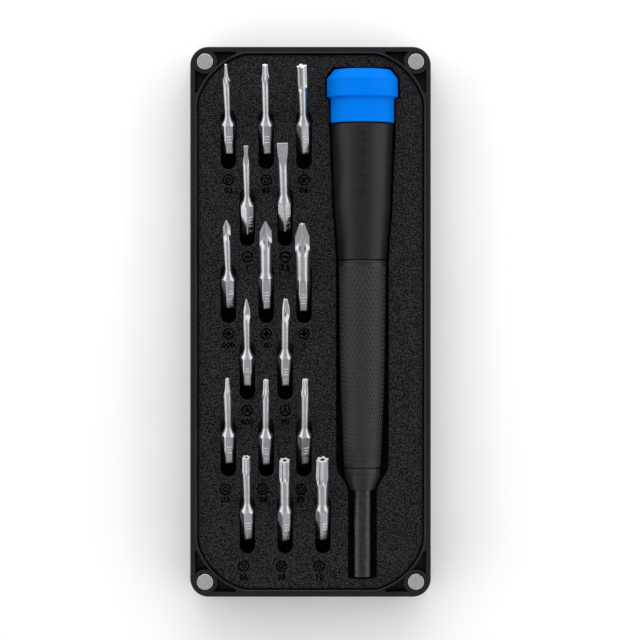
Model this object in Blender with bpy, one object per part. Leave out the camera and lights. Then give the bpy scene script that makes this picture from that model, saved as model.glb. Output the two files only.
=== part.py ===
"""A precision screwdriver set in an open tray case.

The case is a moulded tray with a foam insert and four corner magnets. Sixteen hexagonal-shank bits
lie tilted in foam slots, and a driver with a spinning cap and a hexagonal socket lies beside them.

Frame: metres, +Z up, origin at the centre of the tray's underside. The bit tips and the driver's
swivel cap point to +Y, and the driver lies on the +X side.
"""
import math
from collections import namedtuple

import bmesh
import bpy
from mathutils import Matrix

MM = 0.001
GAP = 0.3 * MM              # clearance between neighbouring pieces
OVERCUT = 1.0 * MM          # how far a cutter runs past the surface that it opens

# Tray
CASE_WIDTH = 70.0 * MM
CASE_LENGTH = 160.0 * MM
CASE_CORNER_RADIUS = 5.3 * MM
RIM_TOP = 15.6 * MM
FLOOR_THICKNESS = 2.0 * MM
RIM_WIDTH = 1.45 * MM
BASE_CHAMFER = 0.8 * MM
RIM_CHAMFER = 0.25 * MM
LIP_HEIGHT = 0.5 * MM
LIP_THICKNESS = 0.6 * MM
LIP_LEDGE = 0.2 * MM        # the wall below the lip is this much thicker at the cut corners
POCKET_DEPTH = 9.0 * MM
POCKET_MARGIN_DEG = 2.0     # how far short of the lip's end arcs each corner pocket stops

# Cut corners of the lip and the insert: a wide arc between two tighter ones
CORNER_END_RADIUS = 8.0 * MM
CORNER_MIDDLE_RADIUS = 20.5 * MM
CORNER_END_TURN_DEG = 20.0

# Corner magnets
MAGNET_RADIUS = 2.35 * MM
MAGNET_THICKNESS = 2.0 * MM
MAGNET_CHAMFER = 0.15 * MM
MAGNET_INSET = 4.3 * MM     # from the case's outer edges to the magnet's centre
BOSS_RADIUS = 3.6 * MM

# Foam insert
FOAM_TOP = 15.2 * MM
FOAM_BOTTOM = FLOOR_THICKNESS + GAP

# Bits
HEX_ACROSS_FLATS = 3.9 * MM
HEX_CORNER_RADIUS = 2.15 * MM
SHANK_LENGTH = 8.9 * MM
SHANK_CHAMFER = 0.3 * MM
CONE_LENGTH = 1.2 * MM
CONE_END_STEP = 0.42 * MM   # how far the cone ends above the shaft
CONE_LEAST_DROP = 0.05 * MM     # how much the cone narrows at least, below a thick shaft
FLAT_REACH = 0.8            # how far up the cone the flats run at most, as a share of its length
FLARE_LENGTH = 2.1 * MM     # from the cone's end down to the shaft
BLADE_LENGTH = 19.1 * MM    # from the collar to the tip
BIT_TILT = math.radians(30.0)
BIT_SIDES = 12
FIVE_LOBE_SIDES = 30
COLLAR_HEIGHT = FOAM_TOP + 0.3 * MM
SLOT_WIDTH = 4.75 * MM
SLOT_LENGTH = 17.1 * MM
SLOT_FRONT_DEPTH = 0.8 * MM     # the least depth of a slot's front end

# The bits lie in six rows, numbered from the cap end. The slots of every other row stand half a
# pitch further in. A seat is the distance from a slot's back end to a bit's collar, before slipping.
ROW_PITCH = 22.4 * MM
COLUMN_PITCH = 11.0 * MM
FIRST_SLOT_BACK_Y = 44.45 * MM
OUTER_COLUMN_X = -23.9 * MM
ROW_SEATS = (13.1 * MM, 12.4 * MM, 12.6 * MM, 12.5 * MM, 12.4 * MM, 12.5 * MM)

# Driver, measured from the cap's end face along its axis towards the socket
DRIVER_X = 15.1 * MM
DRIVER_HEIGHT = 13.0 * MM
DRIVER_CAP_END_Y = 73.7 * MM
DRIVER_SIDES = 40
INNER_SIDES = 24
CAP_DISH_RADIUS = 6.4 * MM
CAP_DISH_DEPTH = 0.5 * MM
CAP_FACE_RADIUS = 8.37 * MM
CAP_BAND_RADIUS = 10.45 * MM
CAP_BAND_START = 3.0 * MM
CAP_FACE = 0.35 * MM        # where the cap's end face lies along the driver's axis
CAP_BAND_END = 8.3 * MM
CAP_SKIRT_RADIUS = 9.34 * MM
CAP_SKIRT_START = 8.67 * MM
CAP_SKIRT_END = 15.8 * MM
CAP_BORE_RADIUS = 7.6 * MM
CAP_CEILING = 4.2 * MM
BODY_START = CAP_SKIRT_END + GAP
BODY_END = 55.6 * MM
BODY_PROFILE = (            # position, radius
    (BODY_START, 8.95 * MM),
    (16.6 * MM, 9.08 * MM),
    (40.6 * MM, 8.31 * MM),
    (BODY_END, 7.14 * MM),
)
NECK_START = 9.3 * MM
NECK_RADIUS = 4.5 * MM
NECK_HOLE_RADIUS = 1.7 * MM
NECK_HOLE_END = 15.6 * MM
SPIGOT_RADIUS = 4.6 * MM
SPIGOT_END = 68.0 * MM
GRIP_START = BODY_END + GAP
GRIP_END = 116.0 * MM
GRIP_PROFILE = (
    (GRIP_START, 7.13 * MM),
    (75.5 * MM, 6.84 * MM),
    (93.6 * MM, 6.47 * MM),
    (GRIP_END, 5.44 * MM),
)
GRIP_SPIGOT_BORE_END = SPIGOT_END + GAP
COLLAR_START = GRIP_END + GAP
COLLAR_RADIUS = 5.34 * MM
COLLAR_BAND_END = 118.5 * MM
COLLAR_END = 122.7 * MM
COLLAR_END_RADIUS = 3.65 * MM
SHAFT_RADIUS = 3.0 * MM
SHAFT_START = 96.0 * MM
SHAFT_END = 148.1 * MM
SHAFT_CHAMFER = 0.25 * MM
SOCKET_ACROSS_FLATS = 4.1 * MM
SOCKET_DEPTH = 9.0 * MM
SOCKET_MAGNET_RADIUS = 1.6 * MM
SOCKET_MAGNET_LENGTH = 1.8 * MM
BUSHING_START = 9.6 * MM
BUSHING_END = 15.2 * MM
WASHER_START = 8.2 * MM
WASHER_END = 9.0 * MM
WASHER_RADIUS = 6.2 * MM
SCREW_HEAD_START = 6.3 * MM
SCREW_HEAD_END = 7.9 * MM
SCREW_HEAD_RADIUS = 3.0 * MM
SCREW_RADIUS = 1.4 * MM
SCREW_END = 15.2 * MM

# Recess that holds the driver: its half widths follow the driver with this clearance
RECESS_CLEARANCE = 0.35 * MM
GRIP_RECESS_HALF_WIDTH = 7.6 * MM
GRIP_RECESS_END = 115.4 * MM
SHAFT_RECESS_HALF_WIDTH = 4.2 * MM
SHAFT_RECESS_START = 121.8 * MM
SHAFT_RECESS_END = SHAFT_END + 0.4 * MM

Look = namedtuple("Look", "name colour roughness metallic")
BLACK_PLASTIC = Look("black_plastic", (0.022, 0.022, 0.024), 0.42, 0.0)
FOAM = Look("dark_foam", (0.018, 0.017, 0.019), 0.95, 0.0)
MAGNET_METAL = Look("magnet_metal", (0.52, 0.52, 0.53), 0.35, 1.0)
BIT_STEEL = Look("bit_steel", (0.62, 0.62, 0.63), 0.28, 1.0)
BLUE_PLASTIC = Look("blue_plastic", (0.0, 0.22, 0.87), 0.35, 0.0)
HANDLE_BLACK = Look("handle_black", (0.015, 0.015, 0.017), 0.45, 0.0)
SHAFT_BLACK = Look("shaft_black", (0.02, 0.02, 0.022), 0.35, 0.6)
BUSHING_PLASTIC = Look("bushing_plastic", (0.55, 0.54, 0.5), 0.5, 0.0)
SCREW_STEEL = Look("screw_steel", (0.45, 0.45, 0.46), 0.35, 1.0)

# One bit: where it lies, the section of its tip, and its thickness from the tip backwards.
# shaft_root is the shaft's diameter at the collar, slip is how far the bit has slid back in its slot,
# and short is how much shorter it is than the longest. stations are (distance back from the tip,
# diameter), the last one being where the round shaft starts. All of them are in millimetres.
Bit = namedtuple("Bit", "name row column section shaft_root roll_deg slip short stations")
BITS = (
    Bit("five_lobe_2", 0, 0, "five_lobe", 1.85, 4, 0, 0,
        ((0, 0.75), (2.4, 0.95), (3.9, 1.25), (6.9, 2.1))),
    Bit("five_lobe_5", 0, 1, "five_lobe", 2.08, 8, 0, 0.2,
        ((0, 1.65), (2.5, 1.95), (3.9, 2.55), (6.4, 2.25))),
    Bit("standoff_4", 0, 2, "standoff", 2.3, 14, 0, 0.5,
        ((0, 3.0), (5.4, 2.85), (6.7, 2.7), (8.0, 2.55))),
    Bit("slotted_1", 1, 0, "slotted", 1.92, 30, 0.4, 0,
        ((0, 1.35), (2.6, 1.15), (4.8, 2.05), (6.1, 2.2))),
    Bit("slotted_2_5", 1, 1, "slotted", 2.8, 30, -0.4, 0,
        ((0, 3.1), (4.0, 3.05), (6.1, 2.85), (7.4, 2.9))),
    Bit("cross_000", 2, 0, "cross", 1.95, 16, -0.3, 0,
        ((0, 0.5), (2.1, 2.15), (4.9, 2.2), (6.7, 2.2))),
    Bit("cross_0", 2, 1, "cross", 3.4, 8, 0, 0,
        ((0, 0.5), (3.1, 3.6), (6.8, 3.6), (8.6, 3.5))),
    Bit("cross_1", 2, 2, "cross", 4.1, 0, 0.6, 0,
        ((0, 1.5), (3.9, 4.25), (7.6, 4.25), (10.2, 4.2))),
    Bit("three_point_000", 3, 0, "three_point", 1.93, 0, -0.15, 0,
        ((0, 0.5), (3.4, 2.1), (6.1, 2.2), (7.4, 2.2))),
    Bit("three_point_0", 3, 1, "three_point", 2.32, 6, -0.15, 0,
        ((0, 1.34), (3.0, 2.5), (6.1, 2.5), (8.2, 2.45))),
    Bit("star_3", 4, 0, "star", 2.1, 5, 0, 0.2,
        ((0, 1.05), (3.5, 1.4), (5.4, 2.2), (6.5, 2.3))),
    Bit("star_4", 4, 1, "star", 2.02, 8, 0.4, 0.2,
        ((0, 1.55), (3.0, 1.65), (5.3, 2.2), (6.9, 2.25))),
    Bit("star_5", 4, 2, "star", 2.2, 15, 0.3, 0.2,
        ((0, 1.75), (2.6, 1.85), (5.0, 2.5), (6.4, 2.4))),
    Bit("security_star_6", 5, 0, "hollow_star", 2.16, 12, -0.1, 0.7,
        ((0, 2.3), (3.7, 2.45), (5.0, 2.5), (6.4, 2.4))),
    Bit("security_star_8", 5, 1, "hollow_star", 3.05, 18, 0.4, 1.2,
        ((0, 3.2), (5.0, 3.35), (6.4, 3.25), (7.7, 3.15))),
    Bit("security_star_10", 5, 2, "hollow_star", 3.25, 18, 0.15, 1.2,
        ((0, 3.65), (6.1, 4.05), (7.6, 3.7), (9.1, 3.45))),
)
WINGS = {"slotted": 2, "three_point": 3, "cross": 4, "standoff": 4}
WING_THICKNESS = {"slotted": 0.28, "three_point": 0.34, "cross": 0.36, "standoff": 0.34}
LOBES = {"five_lobe": 5, "star": 6, "hollow_star": 6}
LOBE_DEPTH = {"five_lobe": 0.24, "star": 0.22, "hollow_star": 0.2}
HOLE_SHARE = 0.36           # a security tip's hole, as a share of the tip's diameter
HOLE_DEPTH = 2.0 * MM
NUB_SHARE = 0.3             # a standoff tip's centre nub, as a share of the tip's diameter
NUB_LENGTH = 0.4 * MM


# ---------------------------------------------------------------- scene and materials

def clear_scene():
    """Remove every object that the scene starts with."""
    for leftover in list(bpy.data.objects):
        bpy.data.objects.remove(leftover, do_unlink=True)


def make_material(piece_name, look):
    """A Principled material of the piece's own."""
    material = bpy.data.materials.new(piece_name + "_" + look.name)
    material.use_nodes = True
    shader = material.node_tree.nodes["Principled BSDF"]
    shader.inputs["Base Color"].default_value = (*look.colour, 1.0)
    shader.inputs["Roughness"].default_value = look.roughness
    shader.inputs["Metallic"].default_value = look.metallic
    return material


def add_object(name, shape):
    """Link a bmesh as a named object, with its faces pointing out."""
    bmesh.ops.recalc_face_normals(shape, faces=shape.faces)
    mesh = bpy.data.meshes.new(name)
    shape.to_mesh(mesh)
    shape.free()
    added = bpy.data.objects.new(name, mesh)
    bpy.context.collection.objects.link(added)
    return added


def add_piece(name, shape, look, parent=None, smooth=True):
    """A sub-part of the set."""
    piece = add_object(name, shape)
    piece.data.materials.append(make_material(name, look))
    if smooth:
        piece.data.shade_smooth()
        piece.data.set_sharp_from_angle(angle=math.radians(32))
    piece.parent = parent
    return piece


def add_cutter(name, shape, parent=None):
    """A helper solid for Boolean modifiers, which is no part of the set."""
    cutter = add_object(name, shape)
    cutter.hide_render = True
    cutter.display_type = "WIRE"
    cutter.parent = parent
    return cutter


def combine(piece, other, operation):
    """Add a Boolean modifier with the exact solver."""
    modifier = piece.modifiers.new(operation.lower() + "_" + other.name, "BOOLEAN")
    modifier.operation = operation
    modifier.solver = "EXACT"
    modifier.object = other


# ---------------------------------------------------------------- meshes

def loft(shape, rings):
    """Join rings of equally many points into one closed solid with flat ends."""
    loops = [[shape.verts.new(point) for point in ring] for ring in rings]
    for lower, upper in zip(loops, loops[1:]):
        count = len(lower)
        for i in range(count):
            j = (i + 1) % count
            shape.faces.new((lower[i], lower[j], upper[j], upper[i]))
    shape.faces.new(list(reversed(loops[0])))
    shape.faces.new(loops[-1])


def prism(outline, bottom, top):
    """A straight solid over a flat outline."""
    shape = bmesh.new()
    add_prism(shape, outline, bottom, top)
    return shape


def add_prism(shape, outline, bottom, top):
    """Add a straight solid to a shape."""
    loft(shape, [[(x, y, bottom) for x, y in outline], [(x, y, top) for x, y in outline]])


def turned(profile, sides, ring_shaped=False):
    """Turn a profile of (position along Z, radius) points about the Z axis."""
    shape = bmesh.new()
    loops = []
    for along, radius in profile:
        if radius == 0:
            loops.append([shape.verts.new((0, 0, along))])
            continue
        angles = [2 * math.pi * i / sides for i in range(sides)]
        points = [(radius * math.cos(a), radius * math.sin(a), along) for a in angles]
        loops.append([shape.verts.new(point) for point in points])
    pairs = list(zip(loops, loops[1:]))
    if ring_shaped:
        pairs.append((loops[-1], loops[0]))
    for first, second in pairs:
        for i in range(sides):
            j = (i + 1) % sides
            corners = [first[i % len(first)], first[j % len(first)]]
            corners += [second[j % len(second)], second[i % len(second)]]
            shape.faces.new(list(dict.fromkeys(corners)))
    return shape


# ---------------------------------------------------------------- outlines

def four_corners(quarter):
    """Complete a counter-clockwise outline from its first-quadrant corner."""
    second = [(-x, y) for x, y in reversed(quarter)]
    third = [(-x, -y) for x, y in quarter]
    fourth = [(x, -y) for x, y in reversed(quarter)]
    return quarter + second + third + fourth


def rounded_corner(half_width, half_length, radius, steps=6):
    """The first-quadrant corner of a rounded rectangle."""
    points = []
    for i in range(steps + 1):
        angle = math.pi / 2 * i / steps
        x = half_width - radius + radius * math.cos(angle)
        y = half_length - radius + radius * math.sin(angle)
        points.append((x, y))
    return points


def case_outline(inset):
    """The tray's outer outline, drawn in by an inset."""
    radius = CASE_CORNER_RADIUS - inset
    return four_corners(rounded_corner(CASE_WIDTH / 2 - inset, CASE_LENGTH / 2 - inset, radius))


def cut_corner(inset, first_heading=90.0, last_heading=180.0):
    """The lip's first-quadrant corner, as three arcs that turn from +Y to -X.

    The inset is measured from the lip's outer side. A part of the corner is chosen by headings in
    degrees.
    """
    end_radius = CORNER_END_RADIUS - inset
    middle_radius = CORNER_MIDDLE_RADIUS - inset
    turns = (CORNER_END_TURN_DEG, 90 - 2 * CORNER_END_TURN_DEG, CORNER_END_TURN_DEG)
    radii = (end_radius, middle_radius, end_radius)
    steps = (3, 8, 3)
    bend = [math.radians(CORNER_END_TURN_DEG), math.radians(90 - CORNER_END_TURN_DEG)]
    reach = end_radius * (1 - math.cos(bend[0]) + math.sin(bend[0]))
    reach += middle_radius * (math.sin(bend[1]) - math.sin(bend[0]))
    x = CASE_WIDTH / 2 - RIM_WIDTH - inset
    y = CASE_LENGTH / 2 - RIM_WIDTH - inset - reach
    heading = 90.0
    points = []
    for turn, radius, count in zip(turns, radii, steps):
        centre_x = x - radius * math.sin(math.radians(heading))
        centre_y = y + radius * math.cos(math.radians(heading))
        for i in range(count + 1):
            angle = heading + turn * i / count
            x = centre_x + radius * math.sin(math.radians(angle))
            y = centre_y - radius * math.cos(math.radians(angle))
            if first_heading <= angle <= last_heading:
                points.append((x, y))
        heading += turn
    return without_repeats(points)


def without_repeats(points):
    """Drop points that fall on the one before them."""
    kept = points[:1]
    for point in points[1:]:
        if math.dist(point, kept[-1]) > 1e-6:
            kept.append(point)
    return kept


def insert_outline(inset):
    """The outline of the lip, the well and the insert, drawn in from the lip's outer side."""
    return four_corners(cut_corner(inset))


# ---------------------------------------------------------------- tray and insert

def at_corners(add_one):
    """Call add_one with the centre of each corner magnet."""
    for side_x in (-1, 1):
        for side_y in (-1, 1):
            x = side_x * (CASE_WIDTH / 2 - MAGNET_INSET)
            y = side_y * (CASE_LENGTH / 2 - MAGNET_INSET)
            add_one(x, y)


def circle(centre_x, centre_y, radius, sides=32):
    """A round outline."""
    angles = [2 * math.pi * i / sides for i in range(sides)]
    return [(centre_x + radius * math.cos(a), centre_y + radius * math.sin(a)) for a in angles]


def cylinders(radius, bottom, top):
    """Four upright cylinders, one at each corner magnet."""
    shape = bmesh.new()
    at_corners(lambda x, y: add_prism(shape, circle(x, y, radius), bottom, top))
    return shape


def corner_pockets():
    """The hollows between the rim and the lip at the four cut corners."""
    start = 90.0 + CORNER_END_TURN_DEG + POCKET_MARGIN_DEG
    end = 180.0 - CORNER_END_TURN_DEG - POCKET_MARGIN_DEG
    inner = cut_corner(-LIP_LEDGE, start, end)
    half_width = CASE_WIDTH / 2 - RIM_WIDTH
    half_length = CASE_LENGTH / 2 - RIM_WIDTH
    outer = [(half_width, inner[0][1])]
    outer += rounded_corner(half_width, half_length, CASE_CORNER_RADIUS - RIM_WIDTH)
    outer += [(inner[-1][0], half_length)]
    outline = outer + list(reversed(inner))
    shape = bmesh.new()
    for side_x in (-1, 1):
        for side_y in (-1, 1):
            placed = [(side_x * x, side_y * y) for x, y in outline]
            if side_x * side_y < 0:
                placed.reverse()
            add_prism(shape, placed, RIM_TOP - POCKET_DEPTH, RIM_TOP + OVERCUT)
    return shape


def make_tray():
    """The moulded tray: floor, walls, rim, raised lip, corner bosses and pockets."""
    levels = (
        (0.0, BASE_CHAMFER),
        (BASE_CHAMFER, 0.0),
        (RIM_TOP - RIM_CHAMFER, 0.0),
        (RIM_TOP, RIM_CHAMFER),
    )
    shape = bmesh.new()
    loft(shape, [[(x, y, z) for x, y in case_outline(inset)] for z, inset in levels])
    tray = add_piece("tray_shell", shape, BLACK_PLASTIC)

    lip_top = RIM_TOP + LIP_HEIGHT
    lip = add_cutter("lip_block", prism(insert_outline(0.0), RIM_TOP - OVERCUT, lip_top))
    well_outline = insert_outline(LIP_THICKNESS)
    well = add_cutter("well_cutter", prism(well_outline, FLOOR_THICKNESS, lip_top + OVERCUT))
    bosses = add_cutter("boss_block", cylinders(BOSS_RADIUS, FLOOR_THICKNESS, lip_top + 2 * OVERCUT))
    pockets = add_cutter("pocket_cutter", corner_pockets())
    combine(pockets, bosses, "DIFFERENCE")
    bore_bottom = RIM_TOP - MAGNET_THICKNESS - GAP
    bores = add_cutter("magnet_bore", cylinders(MAGNET_RADIUS + GAP, bore_bottom, RIM_TOP + OVERCUT))
    combine(tray, lip, "UNION")
    combine(tray, well, "DIFFERENCE")
    combine(tray, pockets, "DIFFERENCE")
    combine(tray, bores, "DIFFERENCE")


def make_magnets():
    """Four disc magnets, flush with the rim."""
    profile = (
        (0.0, 0.0),
        (0.0, MAGNET_RADIUS),
        (MAGNET_THICKNESS - MAGNET_CHAMFER, MAGNET_RADIUS),
        (MAGNET_THICKNESS, MAGNET_RADIUS - MAGNET_CHAMFER),
        (MAGNET_THICKNESS, 0.0),
    )
    centres = []
    at_corners(lambda x, y: centres.append((x, y)))
    for number, (x, y) in enumerate(centres, start=1):
        magnet = add_piece("corner_magnet_" + str(number), turned(profile, 28), MAGNET_METAL)
        magnet.location = (x, y, RIM_TOP - MAGNET_THICKNESS)


def collar_position(bit):
    """Where a bit's collar lies: the point of its axis where the hexagon ends."""
    half_pitch = COLUMN_PITCH / 2 if bit.row % 2 else 0.0
    x = OUTER_COLUMN_X + half_pitch + bit.column * COLUMN_PITCH
    y = slot_back(bit) + ROW_SEATS[bit.row] - bit.slip * MM
    return x, y, COLLAR_HEIGHT


def slot_back(bit):
    """Where the back end of a bit's slot lies along Y."""
    return FIRST_SLOT_BACK_Y - bit.row * ROW_PITCH


def stadium(centre_x, back, front, width, steps=6):
    """A slot outline with round ends, along Y."""
    radius = width / 2
    points = []
    for centre_y, start in ((front - radius, 0.0), (back + radius, math.pi)):
        for i in range(steps + 1):
            angle = start + math.pi * i / steps
            points.append((centre_x + radius * math.cos(angle), centre_y + radius * math.sin(angle)))
    return points


def slot_cutters():
    """One slot for each bit, its floor parallel to the bit's axis but no shallower than its front end."""
    slope = math.tan(BIT_TILT)
    hex_drop = (HEX_CORNER_RADIUS + GAP) / math.cos(BIT_TILT)
    shape = bmesh.new()
    for bit in BITS:
        x, y, z = collar_position(bit)
        front = slot_back(bit) + SLOT_LENGTH
        front_drop = z + (front - y) * slope - (FOAM_TOP - SLOT_FRONT_DEPTH)
        drop = max(hex_drop, front_drop)
        outline = stadium(x, slot_back(bit), front, SLOT_WIDTH)
        floor = [(px, py, z - drop + (py - y) * slope) for px, py in outline]
        mouth = [(px, py, FOAM_TOP + OVERCUT) for px, py in outline]
        loft(shape, [floor, mouth])
    return shape


def recess_outline(half_widths):
    """A recess along the driver's axis from (position, half width) pairs."""
    left = [(DRIVER_X - half, DRIVER_CAP_END_Y - along) for along, half in half_widths]
    right = [(DRIVER_X + half, DRIVER_CAP_END_Y - along) for along, half in half_widths]
    return left + list(reversed(right))


def recess_cutters():
    """The driver's recess: cut right through below the cap and the body, shallower further on."""
    c = RECESS_CLEARANCE
    cap_and_body = [
        (-c, CAP_FACE_RADIUS + c / 2),
        (CAP_BAND_START - c / 2, CAP_BAND_RADIUS + c),
        (CAP_BAND_END + c, CAP_BAND_RADIUS + c),
        (CAP_SKIRT_START + c, CAP_SKIRT_RADIUS + c),
        (CAP_SKIRT_END + c, CAP_SKIRT_RADIUS + c),
    ]
    cap_and_body += [(along, radius + c) for along, radius in BODY_PROFILE[2:-1]]
    cap_and_body += [(BODY_END, GRIP_RECESS_HALF_WIDTH + c / 2)]
    grip = [
        (BODY_END - 2 * OVERCUT, GRIP_RECESS_HALF_WIDTH),
        (GRIP_RECESS_END, GRIP_RECESS_HALF_WIDTH),
        (118.3 * MM, 6.6 * MM),
        (120.6 * MM, 5.1 * MM),
        (123.2 * MM, 4.35 * MM),
    ]
    shaft = [
        (SHAFT_RECESS_START, SHAFT_RECESS_HALF_WIDTH),
        (SHAFT_RECESS_END, SHAFT_RECESS_HALF_WIDTH),
    ]
    grip_floor = DRIVER_HEIGHT - GRIP_PROFILE[0][1] - GAP
    shaft_floor = DRIVER_HEIGHT - SHAFT_RADIUS - GAP
    parts = (
        ("body_recess", cap_and_body, FOAM_BOTTOM - OVERCUT),
        ("grip_recess", grip, grip_floor),
        ("shaft_recess", shaft, shaft_floor),
    )
    top = FOAM_TOP + OVERCUT
    return [add_cutter(name, prism(recess_outline(widths), floor, top)) for name, widths, floor in parts]


def make_insert():
    """The foam insert with its bit slots and the driver's recess."""
    outline = insert_outline(LIP_THICKNESS + GAP)
    insert = add_piece("foam_insert", prism(outline, FOAM_BOTTOM, FOAM_TOP), FOAM)
    combine(insert, add_cutter("bit_slots", slot_cutters()), "DIFFERENCE")
    for cutter in recess_cutters():
        combine(insert, cutter, "DIFFERENCE")


# ---------------------------------------------------------------- bits

def hex_radius(angle):
    """Radius of the shank's hexagon, flats facing +-Y, with its corners broken."""
    from_flat = (angle - math.pi / 2 + math.pi / 6) % (math.pi / 3) - math.pi / 6
    return min(HEX_ACROSS_FLATS / 2 / math.cos(from_flat), HEX_CORNER_RADIUS)


def tip_radius(bit, angle, reach):
    """Radius of a tip's section at an angle, where the tip reaches out this far."""
    if bit.section in LOBES:
        depth = LOBE_DEPTH[bit.section]
        return reach * (1 - depth / 2 + depth / 2 * math.cos(LOBES[bit.section] * angle))
    if bit.section == "slotted":
        angle += math.radians(bit.roll_deg)     # a blade lies level however its shank is rolled
    spread = 2 * math.pi / WINGS[bit.section]
    off_wing = abs((angle + spread / 2) % spread - spread / 2)
    half_thickness = WING_THICKNESS[bit.section] * reach
    if off_wing < 1e-6:
        return reach
    return min(reach, half_thickness / math.sin(off_wing))


def ring(angles, radius_at, along_at):
    """Points about the Z axis, with the radius and the height as functions of the angle."""
    return [(radius_at(a) * math.cos(a), radius_at(a) * math.sin(a), along_at(a)) for a in angles]


def round_ring(angles, radius, along):
    """A level round ring."""
    return ring(angles, lambda a: radius, lambda a: along)


def flat_end(angle, cone_end):
    """How far along the axis a flat runs up on a cone that narrows to this radius."""
    share = (HEX_CORNER_RADIUS - hex_radius(angle)) / (HEX_CORNER_RADIUS - cone_end)
    return CONE_LENGTH * min(FLAT_REACH, share)


def shank_rings(angles, shaft_root):
    """The hexagonal shank, the cone that its flats run up on, and the flare down to the shaft."""
    cone_end = min(shaft_root + CONE_END_STEP, HEX_CORNER_RADIUS - CONE_LEAST_DROP)
    end = -SHANK_LENGTH
    return [
        ring(angles, lambda a: hex_radius(a) - SHANK_CHAMFER, lambda a: end),
        ring(angles, hex_radius, lambda a: end + SHANK_CHAMFER),
        ring(angles, hex_radius, lambda a: flat_end(a, cone_end)),
        round_ring(angles, cone_end, CONE_LENGTH),
        round_ring(angles, shaft_root, CONE_LENGTH + FLARE_LENGTH),
    ]


def tip_end(bit):
    """How far along the axis a tip ends."""
    return BLADE_LENGTH - bit.short * MM


def tip_rings(bit, angles):
    """The shaft's end and the shaped tip, whose shape fades out towards the shaft."""
    rings = []
    last = len(bit.stations) - 1
    for index in range(last, -1, -1):
        back, diameter = bit.stations[index]
        along = tip_end(bit) - back * MM
        reach = diameter / 2 * MM
        if index == last:
            rings.append(round_ring(angles, reach, along))
            continue
        share = 1.0 if index < last - 1 else 0.5
        if bit.section == "slotted" and index == 0:
            share = 1.0

        def shaped(a, reach=reach, share=share):
            return share * tip_radius(bit, a, reach) + (1 - share) * reach

        rings.append(ring(angles, shaped, lambda a, along=along: along))
    return rings


def centre_feature(bit, angles):
    """The hole in a security tip, or the nub on a standoff tip."""
    end_diameter = bit.stations[0][1] * MM
    tip = tip_end(bit)
    if bit.section == "hollow_star":
        radius = end_diameter / 2 * HOLE_SHARE
        return [round_ring(angles, radius, tip), round_ring(angles, radius, tip - HOLE_DEPTH)]
    if bit.section == "standoff":
        radius = end_diameter / 2 * NUB_SHARE
        return [round_ring(angles, radius, tip), round_ring(angles, radius, tip + NUB_LENGTH)]
    return []


def make_bit(bit):
    """One bit, its origin at its collar and its axis along its own +Z."""
    sides = FIVE_LOBE_SIDES if bit.section == "five_lobe" else BIT_SIDES
    angles = [2 * math.pi * i / sides for i in range(sides)]
    rings = shank_rings(angles, bit.shaft_root / 2 * MM) + tip_rings(bit, angles)
    rings += centre_feature(bit, angles)
    shape = bmesh.new()
    loft(shape, rings)
    piece = add_piece("bit_" + bit.name, shape, BIT_STEEL)
    lean = Matrix.Rotation(BIT_TILT - math.pi / 2, 4, "X")
    roll = Matrix.Rotation(math.radians(bit.roll_deg), 4, "Z")
    piece.matrix_world = Matrix.Translation(collar_position(bit)) @ lean @ roll


# ---------------------------------------------------------------- driver

def make_axis(name):
    """An empty on the driver's axis at the cap's end, with its +Z running to the socket."""
    axis = bpy.data.objects.new(name, None)
    bpy.context.collection.objects.link(axis)
    axis.location = (DRIVER_X, DRIVER_CAP_END_Y, DRIVER_HEIGHT)
    axis.rotation_euler = (math.pi / 2, 0.0, 0.0)
    return axis


def make_swivel_cap(axis):
    """The spinning cap: a cup that turns on the bushing."""
    profile = (
        (CAP_FACE + CAP_DISH_DEPTH, 0.0),
        (CAP_FACE + CAP_DISH_DEPTH * 0.75, CAP_DISH_RADIUS * 0.5),
        (CAP_FACE, CAP_DISH_RADIUS),
        (CAP_FACE, CAP_FACE_RADIUS),
        (CAP_BAND_START, CAP_BAND_RADIUS),
        (CAP_BAND_END, CAP_BAND_RADIUS),
        (CAP_SKIRT_START, CAP_SKIRT_RADIUS),
        (CAP_SKIRT_END, CAP_SKIRT_RADIUS),
        (CAP_SKIRT_END, CAP_BORE_RADIUS),
        (CAP_CEILING, CAP_BORE_RADIUS),
        (CAP_CEILING, 0.0),
    )
    add_piece("swivel_cap", turned(profile, DRIVER_SIDES), BLUE_PLASTIC, axis)


def make_swivel_bearing(axis):
    """The bushing, washer and screw that hold the cap on the body's neck."""
    bushing = (
        (BUSHING_START, NECK_RADIUS + GAP),
        (BUSHING_START, CAP_BORE_RADIUS - GAP),
        (BUSHING_END, CAP_BORE_RADIUS - GAP),
        (BUSHING_END, NECK_RADIUS + GAP),
    )
    washer = (
        (WASHER_START, SCREW_RADIUS + GAP),
        (WASHER_START, WASHER_RADIUS),
        (WASHER_END, WASHER_RADIUS),
        (WASHER_END, SCREW_RADIUS + GAP),
    )
    screw = (
        (SCREW_HEAD_START, 0.0),
        (SCREW_HEAD_START, SCREW_HEAD_RADIUS * 0.8),
        (SCREW_HEAD_START + 0.5 * MM, SCREW_HEAD_RADIUS),
        (SCREW_HEAD_END, SCREW_HEAD_RADIUS),
        (SCREW_HEAD_END, SCREW_RADIUS),
        (SCREW_END, SCREW_RADIUS),
        (SCREW_END, 0.0),
    )
    add_piece("swivel_bushing", turned(bushing, INNER_SIDES, ring_shaped=True), BUSHING_PLASTIC, axis)
    add_piece("retaining_washer", turned(washer, INNER_SIDES, ring_shaped=True), SCREW_STEEL, axis)
    add_piece("swivel_screw", turned(screw, INNER_SIDES), SCREW_STEEL, axis)


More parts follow.
